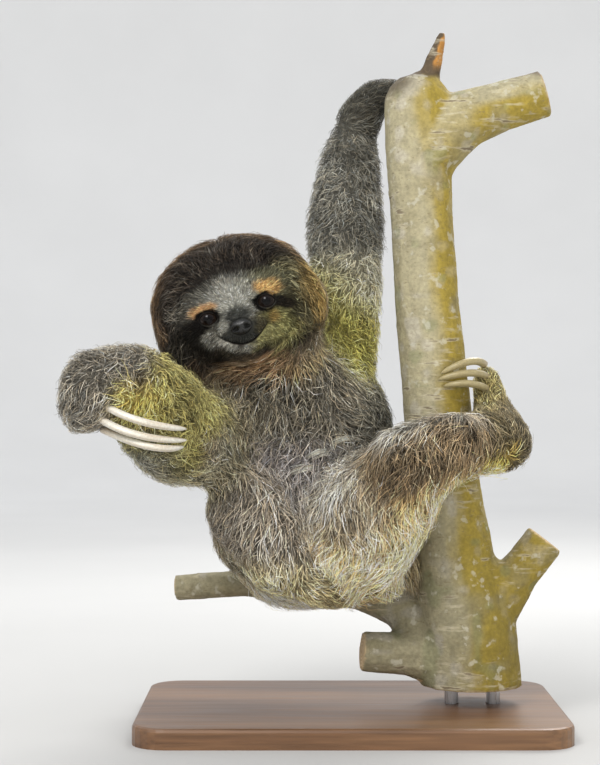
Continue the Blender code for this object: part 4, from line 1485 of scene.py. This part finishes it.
def make_bark(node, material):
    """The perch with its bark's relief: leaf scars, a knot, shallow dents and a rough twig."""
    points, faces = read_mesh(node.data)
    perch = Surface(*remeshed(points, faces, BARK_VOXEL))
    perch.points = perch.smoothed(perch.points, 2)
    normals = perch.normals()
    places = perch.points
    sawn, ring = np.zeros(len(places)), np.zeros(len(places))
    for middle, out, radius in SAWN_ENDS:
        out = unit(np.array(out, float))
        spread = places - np.array(middle, float)
        over = spread @ out
        beside = np.linalg.norm(spread - over[:, None] * out, axis=1)
        flat = (normals @ out > 0.75) & (np.abs(over) < 6) & (beside < radius * 1.25)
        sawn = np.maximum(sawn, flat * 1.0)
        ring = np.where(flat, beside * 2.6, ring)
    relief, scars = leaf_scars(places)
    lump = noise(places, 17, 13) * 0.35 + noise(places, 6, 14) * 0.2 + noise(places, 2.6, 15) * 0.12
    knot = np.exp(-(np.linalg.norm((places - KNOT) / KNOT_RADII, axis=1) ** 2))
    relief += lump - 1.6 * knot * (0.7 + 0.5 * noise(places, 3, 16))
    perch.points = places + normals * (np.minimum(relief, 0.4) * (1 - sawn))[:, None]
    paint = Paint(plain((0.335, 0.3, 0.19), len(places)))
    # Painted reflected light: yellow light from leaves on faces that look right and not away, and under the
    # branch at the top right
    leaf_light_side = 0.35 * noise(places, 40, 21) + normals[:, 0] * 0.8 + (places[:, 0] - 60) / 90
    painted_leaf_light = smoothstep(leaf_light_side, -0.25, 0.45)
    painted_leaf_light *= smoothstep(-normals[:, 1] + 0.4 * noise(places, 25, 29), -0.75, 0.1)
    branch = smoothstep(places[:, 0], 70, 95) * smoothstep(places[:, 2], 370, 400)
    painted_leaf_light = np.maximum(painted_leaf_light * (1 - branch), branch * smoothstep(-normals[:, 2], -0.55, 0.15))
    paint.lay((0.29, 0.212, 0.026), painted_leaf_light * 0.92)
    paint.lay((0.23, 0.2, 0.11), smoothstep(noise(places, 15, 22), 0.1, 0.7) * 0.5)
    paint.lay((0.42, 0.39, 0.33), smoothstep(noise(places, 9, 23), 0.3, 0.6) * 0.5 * (1 - painted_leaf_light * 0.6))
    paint.lay((0.2, 0.22, 0.11), smoothstep(noise(places, 11, 24), 0.5, 0.7) * 0.4)
    paint.colour = paint.colour * (0.72 + 0.28 * smoothstep(places[:, 2], 60, 170))[:, None]
    paint.lay((0.13, 0.1, 0.055), scars * 0.85)
    paint.lay((0.09, 0.065, 0.035), np.clip(knot * 1.3, 0, 1))
    # Dark, rough bark on the trunk's left shoulder and round the foot of the broken twig
    x, _, z = (places + noise_vectors(places, 4, 26) * 2).T
    paint.lay((0.11, 0.09, 0.06), smoothstep(z - 0.35 * x, 430, 446) * smoothstep(-x, -50, -36))
    twig = smoothstep(z, 461, 467)
    paint.lay((0.085, 0.06, 0.035), twig)
    orange = smoothstep(normals[:, 0] + 0.35 * noise(places, 5, 27), -0.15, 0.15)
    orange = twig * orange * smoothstep(z, 468, 474)
    paint.lay((0.42, 0.2, 0.05), orange)
    perch.points = perch.points + normals * (0.5 * noise(places, 4, 28) * twig - 0.4 * twig)[:, None]
    mesh = make_mesh("bark", perch.points, perch.faces)
    set_attribute(mesh, "bark", np.clip(paint.colour * (1 + 0.15 * noise(places, 4, 25)[:, None]), 0, 1))
    set_attribute(mesh, "sawn", perch.smoothed(sawn, 1))
    set_attribute(mesh, "ring", ring)
    finish_piece("bark", mesh, material, "bark", "perch")
    return BVHTree.FromPolygons(perch.points.tolist(), perch.faces.tolist())


# Room, lights and camera


def make_floor():
    """A pale floor that curves up into a wall all round."""
    flat, rise, sides = 2.6, 1.4, 96
    radii = [0.0, 0.4, 1.2, 2.0, flat]
    heights = [0.0] * len(radii)
    for step in range(1, 17):
        angle = step / 16 * math.pi / 2
        radii.append(flat + rise * math.sin(angle))
        heights.append(rise * (1 - math.cos(angle)))
    radii.append(flat + rise)
    heights.append(1.8)
    shape = bmesh.new()
    rows = []
    for radius, height in zip(radii, heights):
        turn = [side * math.tau / sides for side in range(sides if radius else 1)]
        rows.append([shape.verts.new((radius * math.cos(a), radius * math.sin(a), height)) for a in turn])
    for side in range(sides):
        after = (side + 1) % sides
        shape.faces.new((rows[0][0], rows[1][side], rows[1][after]))
        for near, far in zip(rows[1:-1], rows[2:]):
            shape.faces.new((near[side], far[side], far[after], near[after]))
    for face in shape.faces:
        face.smooth = True
    mesh = bpy.data.meshes.new("floor")
    shape.to_mesh(mesh)
    shape.free()
    mesh.materials.append(floor_look())
    new_object("floor", mesh)


def make_light(name, place, target, size, power, colour, shows_in_eyes=True):
    data = bpy.data.lights.new(name, "AREA")
    data.size = size
    data.energy = power
    data.color = colour
    light = new_object(name, data)
    light.location = place
    light.rotation_euler = (Vector(target) - Vector(place)).to_track_quat("-Z", "Y").to_euler()
    light.visible_camera = False
    light.visible_glossy = shows_in_eyes


def make_room():
    make_floor()
    middle = (-0.02, 0.0, 0.24)
    make_light("key", (-0.6, -1.1, 1.3), middle, 0.6, 18, (1.0, 0.985, 0.96))
    make_light("fill", (0.4, -1.5, 0.15), middle, 0.9, 14, (1.0, 0.97, 0.9), shows_in_eyes=False)
    make_light("rim", (0.45, 0.9, 1.3), middle, 0.7, 17, (1.0, 0.99, 0.96))
    world = bpy.data.worlds.new("room")
    world.use_nodes = True
    world.node_tree.nodes["Background"].inputs["Color"].default_value = (0.95, 0.97, 1.0, 1.0)
    world.node_tree.nodes["Background"].inputs["Strength"].default_value = 0.9
    bpy.context.scene.world = world
    bpy.context.scene.view_settings.view_transform = "Standard"


def make_camera():
    """Level with the animal's middle, straight in front, with the photo's framing."""
    distance, height_seen = 1.3, 0.5508
    data = bpy.data.cameras.new("camera")
    data.sensor_fit = "VERTICAL"
    data.sensor_height = 36.0
    data.lens = data.sensor_height * distance / height_seen
    camera = new_object("camera", data)
    camera.location = (-0.036, -distance, 0.2446)
    camera.rotation_euler = (math.pi / 2, 0.0, 0.0)
    bpy.context.scene.camera = camera


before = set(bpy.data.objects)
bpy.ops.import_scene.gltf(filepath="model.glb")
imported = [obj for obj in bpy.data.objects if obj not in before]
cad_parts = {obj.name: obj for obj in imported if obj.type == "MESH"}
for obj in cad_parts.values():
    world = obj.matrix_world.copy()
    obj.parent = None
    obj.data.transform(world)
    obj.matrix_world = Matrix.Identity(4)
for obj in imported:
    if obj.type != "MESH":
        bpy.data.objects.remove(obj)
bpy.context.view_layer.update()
make_camera()
make_room()

hair = {
    "coat_body": coat_look("coat_body", 0.6, 0.05),
    "coat_arm": coat_look("coat_arm", 0.65, 0.05),
    "coat_head": coat_look("coat_head", 0.6, 0.0),
    "coat_throat": coat_look("coat_throat", 0.5, 0.05),
    "muzzle": coat_look("muzzle", 0.6, 0.0),
}
skin, part_share, coat_room = make_skin(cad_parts)
skin_mesh = make_mesh("skin", skin.points, skin.faces)
# The skin takes the coat's colours at half brightness, as painted shade between the hairs
set_attribute(skin_mesh, "coat", markings_with_painted_light_and_shade(skin.points, part_share) * 0.5)
finish_piece("skin", skin_mesh, skin_look(), "coat_body", *FLESH)

bark_tree = make_bark(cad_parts["perch"], bark_look())
ground = Ground(skin, part_share, coat_room)
make_coat(ground, bark_tree, hair)
make_wisps(ground, hair["coat_body"])
make_fringe(ground, bark_tree, hair["coat_body"])

eye_material = eye_look()
make_eye("eye_left", 1, eye_material)
make_eye("eye_right", -1, eye_material)
make_nose(nose_look())
horn = claw_look()
for foot, rows in CLAWS.items():
    for number, row in enumerate(rows, 1):
        make_claw(f"{foot}_{number}", row, foot.split("_")[1], horn)

for name, material in (("stand_base", stand_wood_look()), ("stand_rod_1", stand_steel_look())):
    nodes = [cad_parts[name]] + ([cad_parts["stand_rod_2"]] if "rod" in name else [])
    for node in nodes:
        node.data.materials.clear()
        node.data.materials.append(material)
